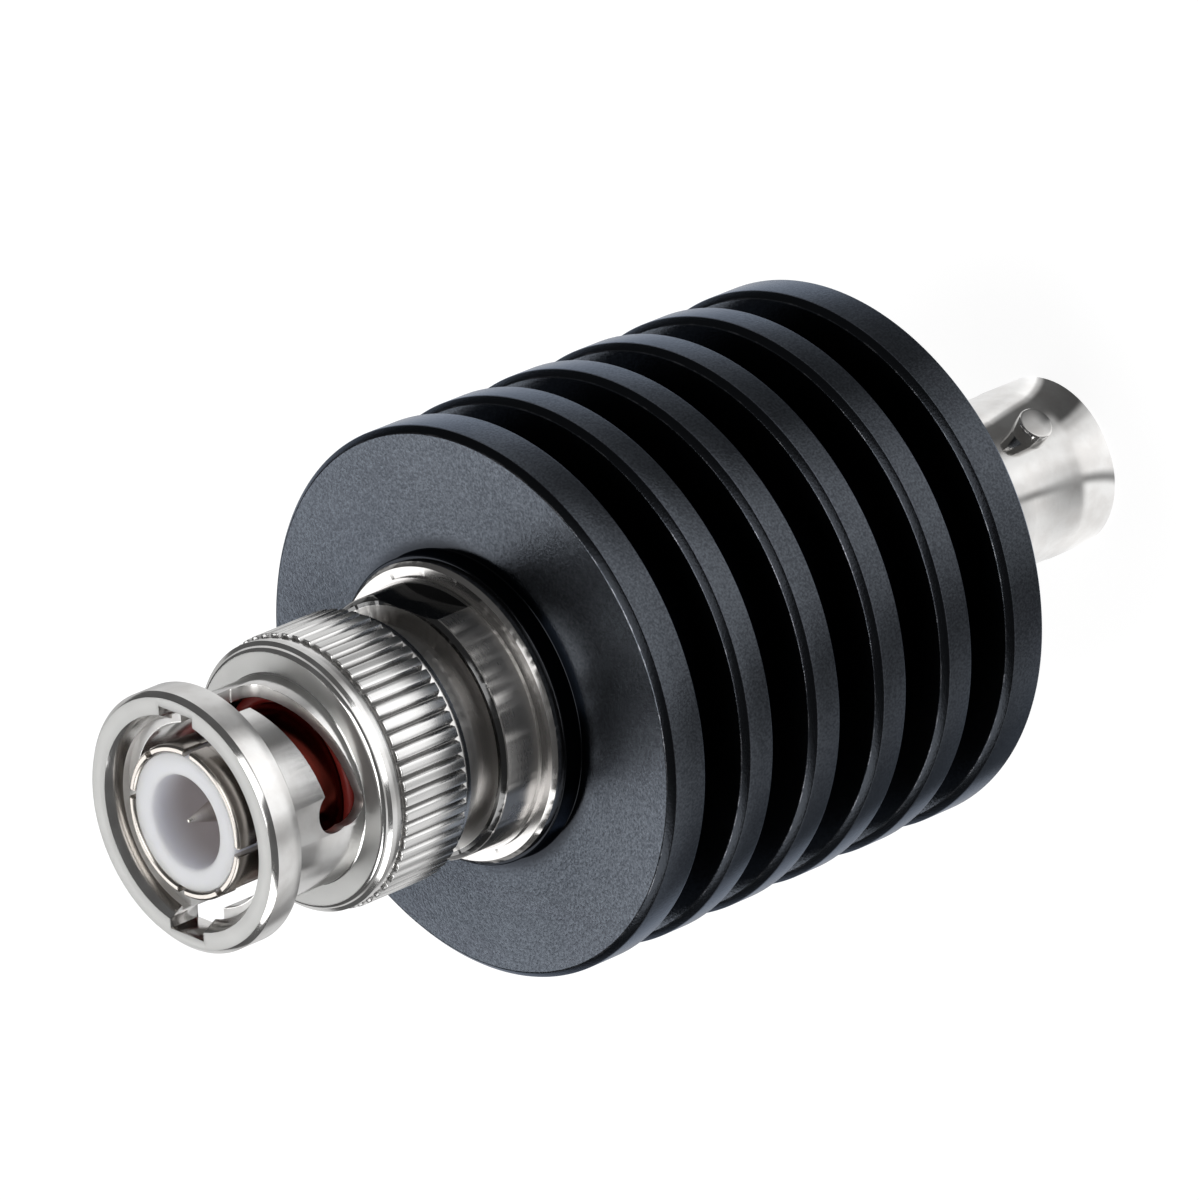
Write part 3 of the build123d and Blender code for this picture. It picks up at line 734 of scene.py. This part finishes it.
# Plug body
# The same brass and nickel as the jack: spigot, flange and milled drum, then a narrow neck and the round
# ring that the coupling nut rests on. Its bore takes the pressed-in sleeve.
neck_radius = 5.6 * mm
neck_length = 0.82 * mm
seat_ring_radius = 6.1 * mm
tail_radius = 5.0 * mm
tail_grip = 4.0 * mm
spigot_relief = 0.5 * mm
neck_skin = 6.7 * mm
flat_reach = (6.72 * mm, 7.15 * mm)
drum_outside = 7.3 * mm
body_low, body_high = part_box("plug_body")
flange_low = sink_high.z
drum_low = flange_low + flange_thick
drum_high = drum_low + drum_length
tail_low = drum_high - tail_grip + neck_length
plug_rings = [(spigot_radius - thread_depth, body_low.z)]
for index in range(thread_turns):
    crest = body_low.z + (index + 0.5) * thread_pitch
    plug_rings += [(spigot_radius, crest), (spigot_radius - thread_depth, crest + thread_pitch / 2)]
plug_rings += [(spigot_radius, flange_low - spigot_relief), (spigot_radius, flange_low),
               (flange_radius, flange_low), (flange_radius, drum_low - flange_bevel),
               (flange_radius - flange_bevel, drum_low), (root_step_radius, drum_low),
               (root_step_radius, drum_low + root_step),
               (drum_radius, drum_low + root_step), (drum_radius, drum_high - drum_bevel),
               (drum_radius - drum_bevel, drum_high), (neck_radius, drum_high),
               (neck_radius, drum_high + neck_length), (seat_ring_radius, drum_high + neck_length),
               (seat_ring_radius, body_high.z), (tail_radius, body_high.z), (tail_radius, tail_low),
               (line_bore, tail_low), (line_bore, body_low.z)]
plug_body = turn_on_lathe("bayonet_plug_body", plug_rings, large_steps)
mill_flats(plug_body, drum_low + root_step, drum_high + overlap)
break_corners(plug_body, turned_edge)
# the plug body's nickel is darker than the jack's, as painted shade
neck_nickel = nickel_plate("nickel plate brushed on neck and drum", roughness=0.08, milled=flat_reach,
                           brushed=((tail_radius, neck_skin, 0.85), (drum_skin, drum_outside, 0.7),
                                    (drum_outside, flange_edge, 0.35)))
hand_over(plug_body, "attenuator", "plug_body", neck_nickel)


# Plug sleeve
# A turned and plated sleeve. Its tail is pressed into the body, its shoulder carries the spring, and
# its thin front is the outer contact, slit six times so that it springs inside the mating jack.
contact_low, contact_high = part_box("plug_sleeve")
shoulder_radius = 6.1 * mm
shoulder_length = 1.55 * mm
contact_reach = 8.45 * mm
contact_radius = 4.07 * mm
contact_tip_radius = 4.15 * mm
contact_tip_length = 1.3 * mm
contact_bore = 3.72 * mm
contact_bevel = 0.1 * mm
slit_width = 0.45 * mm
slit_length = 5.3 * mm
slit_turns = (-7, 38, 83, 173, 218, 263)
contact_edge = 0.025 * mm
shoulder_top = contact_high.z - contact_reach
tip_low = contact_high.z - contact_tip_length
plug_sleeve = turn_on_lathe("slit_outer_contact", [
    (tail_radius, contact_low.z), (tail_radius, shoulder_top - shoulder_length),
    (shoulder_radius, shoulder_top - shoulder_length), (shoulder_radius, shoulder_top),
    (contact_radius, shoulder_top), (contact_radius, tip_low),
    (contact_tip_radius, tip_low + contact_bevel), (contact_tip_radius, contact_high.z - contact_bevel),
    (contact_tip_radius - contact_bevel, contact_high.z), (contact_bore + contact_bevel, contact_high.z),
    (contact_bore, contact_high.z - contact_bevel), (contact_bore, contact_low.z)])
slits = []
for turn in slit_turns:
    slit = add_block("slit", (contact_bore - mm, -slit_width / 2, contact_high.z - slit_length),
                     (contact_tip_radius + mm, slit_width / 2, contact_high.z + mm))
    slit.rotation_euler.z = math.radians(turn)
    apply_place()
    slits.append(slit)
mill_away(plug_sleeve, slits)
break_corners(plug_sleeve, contact_edge)

contact_nickel, tree, surface, place = new_material("soft nickel plate with a painted reflection of the gasket")
contact_grey = (0.46, 0.43, 0.40)
gasket_painted_reflection = (0.12, 0.020, 0.014)
red_start = (shoulder_top, shoulder_top + 0.1 * mm)
red_end = (contact_high.z - 5.4 * mm, contact_high.z - 3.0 * mm)
marks = use_group(tree, turning_marks, place, spacing=plate_spacing)
height = split(tree, place)["Z"]
# painted reflection: the gasket's red is painted on the contact from its shoulder, fading towards the tip
red_reflection_mask = band_between(tree, height, red_start, red_end)
paint(tree, surface, blend_colours(tree, red_reflection_mask, contact_grey, gasket_painted_reflection),
      calculate(tree, "MULTIPLY_ADD", marks.outputs["Smear"], 0.12, 0.18))
add_bump(tree, surface, marks.outputs["Height"], fine_relief)
hand_over(plug_sleeve, "attenuator", "plug_sleeve", contact_nickel)


# Plug insulator, pin and bead
# White fluoroplastic, turned: a thin tube with a nest for the jack's nose, and a solid foot round the
# centre contact. The contact is a plated rod that ends in a long pointed pin.
insulator_low, insulator_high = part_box("plug_insulator")
medium_steps = 192
nest_radius = 2.5 * mm
nest_floor = contact_high.z - 5.3 * mm
nest_round = 0.30 * mm
nest_lip = ((1.0, 0.0), (0.4, 0.12), (0.12, 0.4), (0.0, 1.0))
nest_edge = 0.08 * mm
shaded_length = 2.6 * mm
tube_radius = insulator_high.x
rod_hole = rod_radius + play
tube_rings = [(tube_radius, insulator_low.z), (tube_radius, insulator_high.z)]
for out, down in nest_lip:
    tube_rings.append((nest_radius + out * nest_round, insulator_high.z - down * nest_round))
tube_rings += [(nest_radius, nest_floor), (rod_hole, nest_floor), (rod_hole, insulator_low.z)]
plug_insulator = turn_on_lathe("plug_white_insulator", tube_rings, medium_steps)
break_corners(plug_insulator, nest_edge, segments=3)
shaded_insulator = white_plastic("white insulator with painted shade down its bore", nest_radius + nest_round,
                                 insulator_high.z, shaded_length)
hand_over(plug_insulator, "attenuator", "plug_insulator", shaded_insulator)

pin_low, pin_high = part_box("plug_pin")
pin_radius = 0.675 * mm
pin_point = 0.1 * mm
pin_taper = 2.1 * mm
pin_edge = 0.03 * mm
pin_metal = turned_metal("plated contact pin", dark=(0.62, 0.58, 0.52), light=(0.78, 0.75, 0.70),
                         roughness=0.22, spacing=0.03 * mm, depth=0.0005 * mm)
plug_pin = turn_on_lathe("pointed_centre_pin", [
    (rod_radius, pin_low.z), (rod_radius, nest_floor), (pin_radius, nest_floor),
    (pin_radius, pin_high.z - pin_taper), (pin_point, pin_high.z)], 96, closed=False)
mill_away(plug_pin, [add_block("rod flat", (-mm, 0, pin_low.z - mm),
                               (mm, mm, pin_low.z + rod_flat_length))])
break_corners(plug_pin, pin_edge)
hand_over(plug_pin, "attenuator", "plug_pin", pin_metal)
dress_node("plug_bead", white_insulator)


# Gasket
# A soft moulded ring of red silicone rubber. It sits in front of the sleeve's shoulder, seen through the
# nut's tracks, and the rim of a mating jack presses on it.
silicone_dark = (0.25, 0.020, 0.016)
silicone_red = (0.35, 0.036, 0.028)
silicone_clouds_per_metre = 1800.0
silicone_scatter = (0.5 * mm, 0.1 * mm, 0.08 * mm)
red_silicone, tree, surface, place = new_material("red silicone rubber")
silicone_clouds = noise(tree, place, silicone_clouds_per_metre)
paint(tree, surface, blend_colours(tree, silicone_clouds, silicone_dark, silicone_red), 0.38,
      metallic=0.0)
surface.inputs["Subsurface Weight"].default_value = 0.1
surface.inputs["Subsurface Radius"].default_value = silicone_scatter
surface.inputs["Subsurface Scale"].default_value = 1.0
gasket_low, gasket_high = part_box("gasket")
gasket_radius = gasket_high.x
gasket_bore = contact_radius + play
gasket_round = 0.27 * mm
gasket = turn_on_lathe("red_gasket", [
    (gasket_radius, gasket_low.z), (gasket_radius, gasket_high.z), (gasket_bore, gasket_high.z),
    (gasket_bore, gasket_low.z)], 160)
break_corners(gasket, gasket_round, segments=5)
hand_over(gasket, "attenuator", "gasket", red_silicone)


# Spring and washers
# Hidden in the nut: two flat steel washers with a wave spring of thin strip between them. The front one
# stands on the sleeve's shoulder. On the real plug the rear one rides with the nut, and pulling the nut
# flattens the spring; here all three keep their CAD shapes, and the spring has a mesh of its own.
dress_node("thrust_washer", stainless_steel)
dress_node("slip_washer", stainless_steel)
wave_spring = dress_node("wave_spring", spring_steel)
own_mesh(wave_spring)


# Coupling nut
# Turned from brass and nickel plated: a straight knurl, a guard collar, and a thin barrel with a rolled
# lip. Two keyways in the lip lead to sloping bayonet tracks, each cut through and ending in a pocket.
nut_low, nut_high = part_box("coupling_nut")
nut_land_radius = 7.0 * mm
nut_land_length = 0.65 * mm
knurl_tip = 7.42 * mm
knurl_root = 7.03 * mm
knurl_length = 4.2 * mm
knurl_bevel = 0.03 * mm
knurl_teeth = 56
knurl_steps = 5
groove_length = 0.25 * mm
guard_radius = 7.27 * mm
guard_length = 0.62 * mm
collar_radius = 7.05 * mm
collar_length = 0.43 * mm
collar_round = 0.3 * mm
barrel_radius = 5.65 * mm
barrel_bore = 4.95 * mm
lip_radius = 7.0 * mm
lip_length = 1.9 * mm
lip_bevel = 0.27 * mm
mouth_radius = 5.8 * mm
mouth_throat = 5.35 * mm
mouth_depth = 0.86 * mm
undercut_radius = 5.55 * mm
undercut_length = 0.6 * mm
fillet = 0.08 * mm
cavity_radius = 6.3 * mm
cavity_top = shoulder_top + 0.2 * mm
knurl_bed = knurl_root - 0.05 * mm
knurl_low = nut_low.z + nut_land_length
knurl_high = knurl_low + knurl_length
guard_low = knurl_high + groove_length
collar_low = guard_low + guard_length
barrel_low = collar_low + collar_length
lip_low = nut_high.z - lip_length
mouth_floor = nut_high.z - mouth_depth

nut_rings = [(nut_land_radius, nut_low.z), (nut_land_radius, knurl_low), (knurl_bed, knurl_low),
             (knurl_bed, knurl_high), (nut_land_radius, knurl_high), (nut_land_radius, guard_low),
             (guard_radius, guard_low), (guard_radius, collar_low)]
nut_rings += rounded_corner(collar_radius, barrel_low, collar_round, 1, True, 5)
nut_rings += [(barrel_radius + fillet, barrel_low), (barrel_radius, barrel_low + fillet),
              (barrel_radius, lip_low), (lip_radius - fillet, lip_low), (lip_radius, lip_low + fillet),
              (lip_radius, nut_high.z - lip_bevel), (lip_radius - lip_bevel, nut_high.z),
              (mouth_radius, nut_high.z), (mouth_throat, mouth_floor), (undercut_radius, mouth_floor),
              (undercut_radius, mouth_floor - undercut_length),
              (barrel_bore, mouth_floor - undercut_length), (barrel_bore, cavity_top),
              (cavity_radius, cavity_top), (cavity_radius, nut_low.z)]
coupling_nut = turn_on_lathe("knurled_coupling_nut", nut_rings, large_steps)
# painted light: the nut's nickel is whiter than the jack's same plating
nut_painted_light_shades = ((0.75, 0.735, 0.72), (0.87, 0.865, 0.855))
skin = 0.03 * mm
nut_nickel = nickel_plate("nickel plate with satin faces", roughness=0.08, shades=nut_painted_light_shades,
                          satin_faces=(nut_high.z, barrel_low),
                          cut_walls=(barrel_bore + skin, barrel_radius - skin, mouth_floor))

keyway_width = 2.5 * mm
keyway_across = 12.34 * mm
track_width = 2.3 * mm
track_start = 4.85 * mm
track_drop = 1.4 * mm
track_turn = math.radians(83.5)
track_steps = 28
pocket_radius = 1.1 * mm
pocket_rise = 0.8 * mm
pocket_turn = math.radians(85.5)
track_entry = nut_high.z - track_start
track_end = track_entry - track_drop
cutter_inside = barrel_bore - mm
cutter_outside = barrel_radius + 0.4 * mm
sliver = 0.01 * mm


def cut_track(turn):
    """The cutters of one track: a slab carried down and round, and its three round ends."""
    slab = add_block("track", (cutter_inside, -sliver, track_entry - track_width / 2),
                     (cutter_outside, sliver, track_entry + track_width / 2))
    start_editing("FACE")
    slab_mesh = bmesh.from_edit_mesh(slab.data)
    for face in slab_mesh.faces:
        face.select = face.normal.y < -0.9
    bmesh.update_edit_mesh(slab.data)
    for index in range(track_steps):
        fall = (0, 0, -track_drop / track_steps)
        bpy.ops.mesh.extrude_region_move(TRANSFORM_OT_translate={"value": fall})
        bpy.ops.transform.rotate(value=track_turn / track_steps, orient_axis="Z", center_override=(0, 0, 0))
    end_editing()
    slab.rotation_euler.z = turn
    apply_place()
    cutters = [slab]
    ends = ((turn - track_turn, track_end, track_width / 2), (turn, track_entry, track_width / 2),
            (turn - pocket_turn, track_end + pocket_rise, pocket_radius))
    for angle, height, radius in ends:
        end = turn_on_lathe("track end", [(radius, cutter_inside), (radius, cutter_outside)], small_steps,
                            closed=False)
        end.rotation_euler = (0, quarter_turn, angle)
        end.location = (0, 0, height)
        apply_place()
        cutters.append(end)
    return cutters


half_key = keyway_width / 2
mill_away(coupling_nut, [add_block("keyway", (-keyway_across / 2, -half_key, track_entry),
                                   (keyway_across / 2, half_key, nut_high.z + mm))])
mill_away(coupling_nut, cut_track(0) + cut_track(math.pi))
break_corners(coupling_nut, turned_edge)

knurl_foot = knurl_root - 0.15 * mm
knurl_edge = 0.015 * mm
knurl = turn_on_lathe("nut_knurl", [
    (knurl_foot, knurl_low), (knurl_root, knurl_low), (knurl_root, knurl_low + knurl_bevel),
    (knurl_root, knurl_high - knurl_bevel), (knurl_root, knurl_high), (knurl_foot, knurl_high)],
    knurl_steps * knurl_teeth)


def raise_crests(low, high, reach):
    """All but one corner in five of the knurl, between two heights, is pulled out to a radius."""
    start_editing("VERT")
    mesh = bmesh.from_edit_mesh(knurl.data)
    for corner in mesh.verts:
        place = corner.co
        step = round(math.atan2(place.y, place.x) / (2 * math.pi) * knurl_steps * knurl_teeth)
        outside = place.xy.length > knurl_root - sliver
        corner.select = step % knurl_steps != 0 and low < place.z < high and outside
    bmesh.update_edit_mesh(knurl.data)
    spread = reach / knurl_root
    bpy.ops.transform.resize(value=(spread, spread, 1), center_override=(0, 0, 0))
    bpy.ops.object.mode_set(mode="OBJECT")


bevelled_tip = knurl_tip - 1.2 * knurl_bevel
raise_crests(knurl_low + sliver, knurl_high - sliver, knurl_tip)
raise_crests(nut_low.z, knurl_low + sliver, bevelled_tip)
raise_crests(knurl_high - sliver, nut_high.z, bevelled_tip)
break_corners(knurl, knurl_edge, segments=1)
knurl_nickel, tree, surface, place = new_material("nickel plate on the knurl, painted light and shade")
crest_painted_highlight = (0.91, 0.905, 0.895)
groove_painted_shade = (0.50, 0.495, 0.49)
marks = use_group(tree, turning_marks, place, spacing=brush_spacing)
reach = axis_reach(tree, place)
# painted highlight on the crests and painted shade in the grooves, by distance from the axis
crest = between(tree, reach, knurl_tip - 0.16 * mm, knurl_tip - 0.05 * mm)
paint(tree, surface, blend_colours(tree, crest, groove_painted_shade, crest_painted_highlight),
      calculate(tree, "MULTIPLY_ADD", marks.outputs["Smear"], 0.10, 0.22))
add_bump(tree, surface, marks.outputs["Height"], fine_relief)
knurl.data.materials.append(knurl_nickel)
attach(knurl, "coupling")
hand_over(coupling_nut, "coupling", "coupling_nut", nut_nickel)

ring_bore = tail_radius + 0.1 * mm
ring_low = nut_low.z + 0.1 * mm
ring_high = nut_low.z + 1.2 * mm
ring_edge = 0.05 * mm
retaining_ring = turn_on_lathe("nut_retaining_ring", [
    (cavity_radius, ring_low), (cavity_radius, ring_high), (ring_bore, ring_high), (ring_bore, ring_low)],
    medium_steps)
break_corners(retaining_ring, ring_edge)
hand_over(retaining_ring, "coupling", "retaining_ring", bright_nickel)


# Studio
# A pale floor under the jack, plain soft lamps, and the camera where the photograph was taken from: over
# the plug's side, close to the line of the axis and rolled so that the plug hangs to the lower left.
floor_size = 6.0
floor_white = 0.80
floor_seen = 0.20
floor_seen_glow = 0.93
floor_dark = 0.08
deselect_all()
bpy.ops.mesh.primitive_plane_add(size=floor_size, location=(0, 0, 0))
floor = bpy.context.object
floor.name = "studio_floor"
floor_paint = bpy.data.materials.new("pale floor")
floor_paint.use_nodes = True
tree = floor_paint.node_tree
tree.nodes.remove(tree.nodes["Principled BSDF"])
output = tree.nodes["Material Output"]
rays = tree.nodes.new("ShaderNodeLightPath")


def floor_look(colour, glow):
    """A matt floor with that much white light of its own. Its shader socket comes back."""
    paint = tree.nodes.new("ShaderNodeBsdfDiffuse")
    paint.inputs["Color"].default_value = (colour, colour, colour, 1)
    light = tree.nodes.new("ShaderNodeEmission")
    put(tree, glow, light.inputs["Strength"])
    both = tree.nodes.new("ShaderNodeAddShader")
    tree.links.new(paint.outputs[0], both.inputs[0])
    tree.links.new(light.outputs[0], both.inputs[1])
    return both.outputs[0]


def choose_look(factor, first, second):
    """The first look where the factor is 0, and the second where it is 1."""
    choice = tree.nodes.new("ShaderNodeMixShader")
    tree.links.new(factor, choice.inputs[0])
    tree.links.new(first, choice.inputs[1])
    tree.links.new(second, choice.inputs[2])
    return choice.outputs[0]


# in reflections the floor glows with a painted reflection of a studio: broad pale strips and narrow dark
# ones, as soft boxes and black flags would give.
# Each ring of it has its own, as (heading in degrees, brightness): under the jack, by the fins, beyond
place = tree.nodes.new("ShaderNodeTexCoord").outputs["Object"]
parts = split(tree, place)
heading = calculate(tree, "ARCTAN2", parts["Y"], parts["X"])
turn_share = calculate(tree, "MULTIPLY_ADD", heading, 1 / (2 * math.pi), 0.5)
brightest_strip = 1.4


def strip_ring(looks):
    """A colour ramp round the floor from (heading, brightness) stops. Its colour socket comes back."""
    ring = tree.nodes.new("ShaderNodeValToRGB")
    ring.color_ramp.interpolation = "EASE"
    tree.links.new(turn_share, ring.inputs["Fac"])
    stops = ring.color_ramp.elements
    stops[0].position, stops[1].position = 0, 1
    for azimuth, _ in looks[1:-1]:
        stops.new((azimuth + 180) / 360)
    for stop, (azimuth, level) in zip(stops, looks):
        share = level / brightest_strip
        stop.color = (share, share, share, 1)
    return ring.outputs["Color"]


under_jack = strip_ring(((-180, 0.90), (-147, 1.20), (-123, 1.05), (-93, 1.10), (-86, 0.30),
                         (-78, 1.15), (-60, 1.30), (-44, 0.97), (-34, 0.55), (-27, 0.07), (4, 0.10),
                         (10, 0.60), (14, 1.30), (28, 1.00), (60, 0.90), (120, 0.90), (180, 0.90)))
by_fins = strip_ring(((-180, 0.50), (-174, 0.42), (-168, 0.05), (-160, 0.10), (-147, 0.18),
                      (-128, 0.42), (-118, 0.42), (-105, 0.26), (-93, 0.20), (-84, 0.42), (-74, 0.72),
                      (-60, 1.03), (-42, 1.02), (-26, 0.52), (-10, 0.11), (5, 0.13), (22, 0.32),
                      (40, 0.72), (85, 0.75), (150, 0.55), (166, 0.62), (180, 0.50)))
beyond = strip_ring(((-180, 0.20), (-170, 0.26), (-156, 0.48), (-137, 0.70), (-117, 0.72),
                     (-98, 0.42), (-90, 0.62), (-79, 1.03), (-60, 1.18), (-40, 1.33), (-21, 1.02),
                     (-10, 0.52), (-2, 0.26), (8, 0.32), (17, 0.45), (36, 0.65), (56, 0.66), (76, 0.58),
                     (95, 0.45), (125, 0.60), (146, 0.62), (165, 0.55), (180, 0.20)))
jack_ring = (8 * mm, 11 * mm)
fin_ring = (68 * mm, 73 * mm)
from_axis = axis_reach(tree, place)
near_half = blend_colours(tree, between(tree, from_axis, *jack_ring), under_jack, by_fins)
strips = blend_colours(tree, between(tree, from_axis, *fin_ring), near_half, beyond)
# painted reflection: only glossy and transmission rays see the strips' glow
strip_glow = calculate(tree, "MULTIPLY", strips, brightest_strip)
seen_bright = choose_look(rays.outputs["Is Camera Ray"], floor_look(floor_white, 0.0),
                          floor_look(floor_seen, floor_seen_glow))
shiny = calculate(tree, "MAXIMUM", rays.outputs["Is Glossy Ray"], rays.outputs["Is Transmission Ray"])
tree.links.new(choose_look(shiny, seen_bright, floor_look(floor_dark, strip_glow)),
               output.inputs["Surface"])
floor.data.materials.append(floor_paint)

world_light = 0.10
world = bpy.context.scene.world or bpy.data.worlds.new("studio")
bpy.context.scene.world = world
world.use_nodes = True
sky = world.node_tree.nodes["Background"]
sky.inputs["Color"].default_value = (1, 1, 1, 1)
sky.inputs["Strength"].default_value = world_light


def add_lamp(name, azimuth, elevation, distance, width, height, power, aim):
    """A soft box that shines at a point from an azimuth and elevation in degrees."""
    turn, rise = math.radians(azimuth), math.radians(elevation)
    lamp = bpy.data.objects.new(name, bpy.data.lights.new(name, "AREA"))
    bpy.context.scene.collection.objects.link(lamp)
    lamp.data.shape = "RECTANGLE"
    lamp.data.size, lamp.data.size_y = width, height
    lamp.data.energy = power
    back = mathutils.Vector((math.cos(turn) * math.cos(rise), math.sin(turn) * math.cos(rise),
                             math.sin(rise)))
    lamp.location = mathutils.Vector(aim) + distance * back
    lamp.rotation_mode = "QUATERNION"
    lamp.rotation_quaternion = back.to_track_quat("Z", "Y")
    return lamp


middle = (0, 0, 0.040)
add_lamp("large soft box overhead", -60, 82, 1.20, 0.80, 0.80, 7.2, middle)
add_lamp("soft box behind the plug", 120, 40, 0.45, 0.20, 0.20, 0.30, middle)
add_lamp("soft box at the side", -160, 35, 0.60, 0.30, 0.30, 0.8, middle)
add_lamp("soft box beside the camera", -45, 58, 0.60, 0.30, 0.30, 0.5, middle)

photo_width_px = 1199
focal_px = 11252.1
sensor_width = 36.0
camera_place = (231.789 * mm, -393.500 * mm, 405.091 * mm)
camera_turn = (-25.1079, 45.7677, -92.9858)
camera = bpy.data.objects.new("photo camera", bpy.data.cameras.new("photo camera"))
bpy.context.scene.collection.objects.link(camera)
camera.location = camera_place
camera.rotation_euler = [math.radians(angle) for angle in camera_turn]
camera.data.sensor_fit = "HORIZONTAL"
camera.data.sensor_width = sensor_width
camera.data.lens = focal_px / photo_width_px * sensor_width
camera.data.clip_start = 0.05
camera.data.clip_end = 20.0
bpy.context.scene.camera = camera
bpy.context.scene.view_settings.view_transform = "Standard"
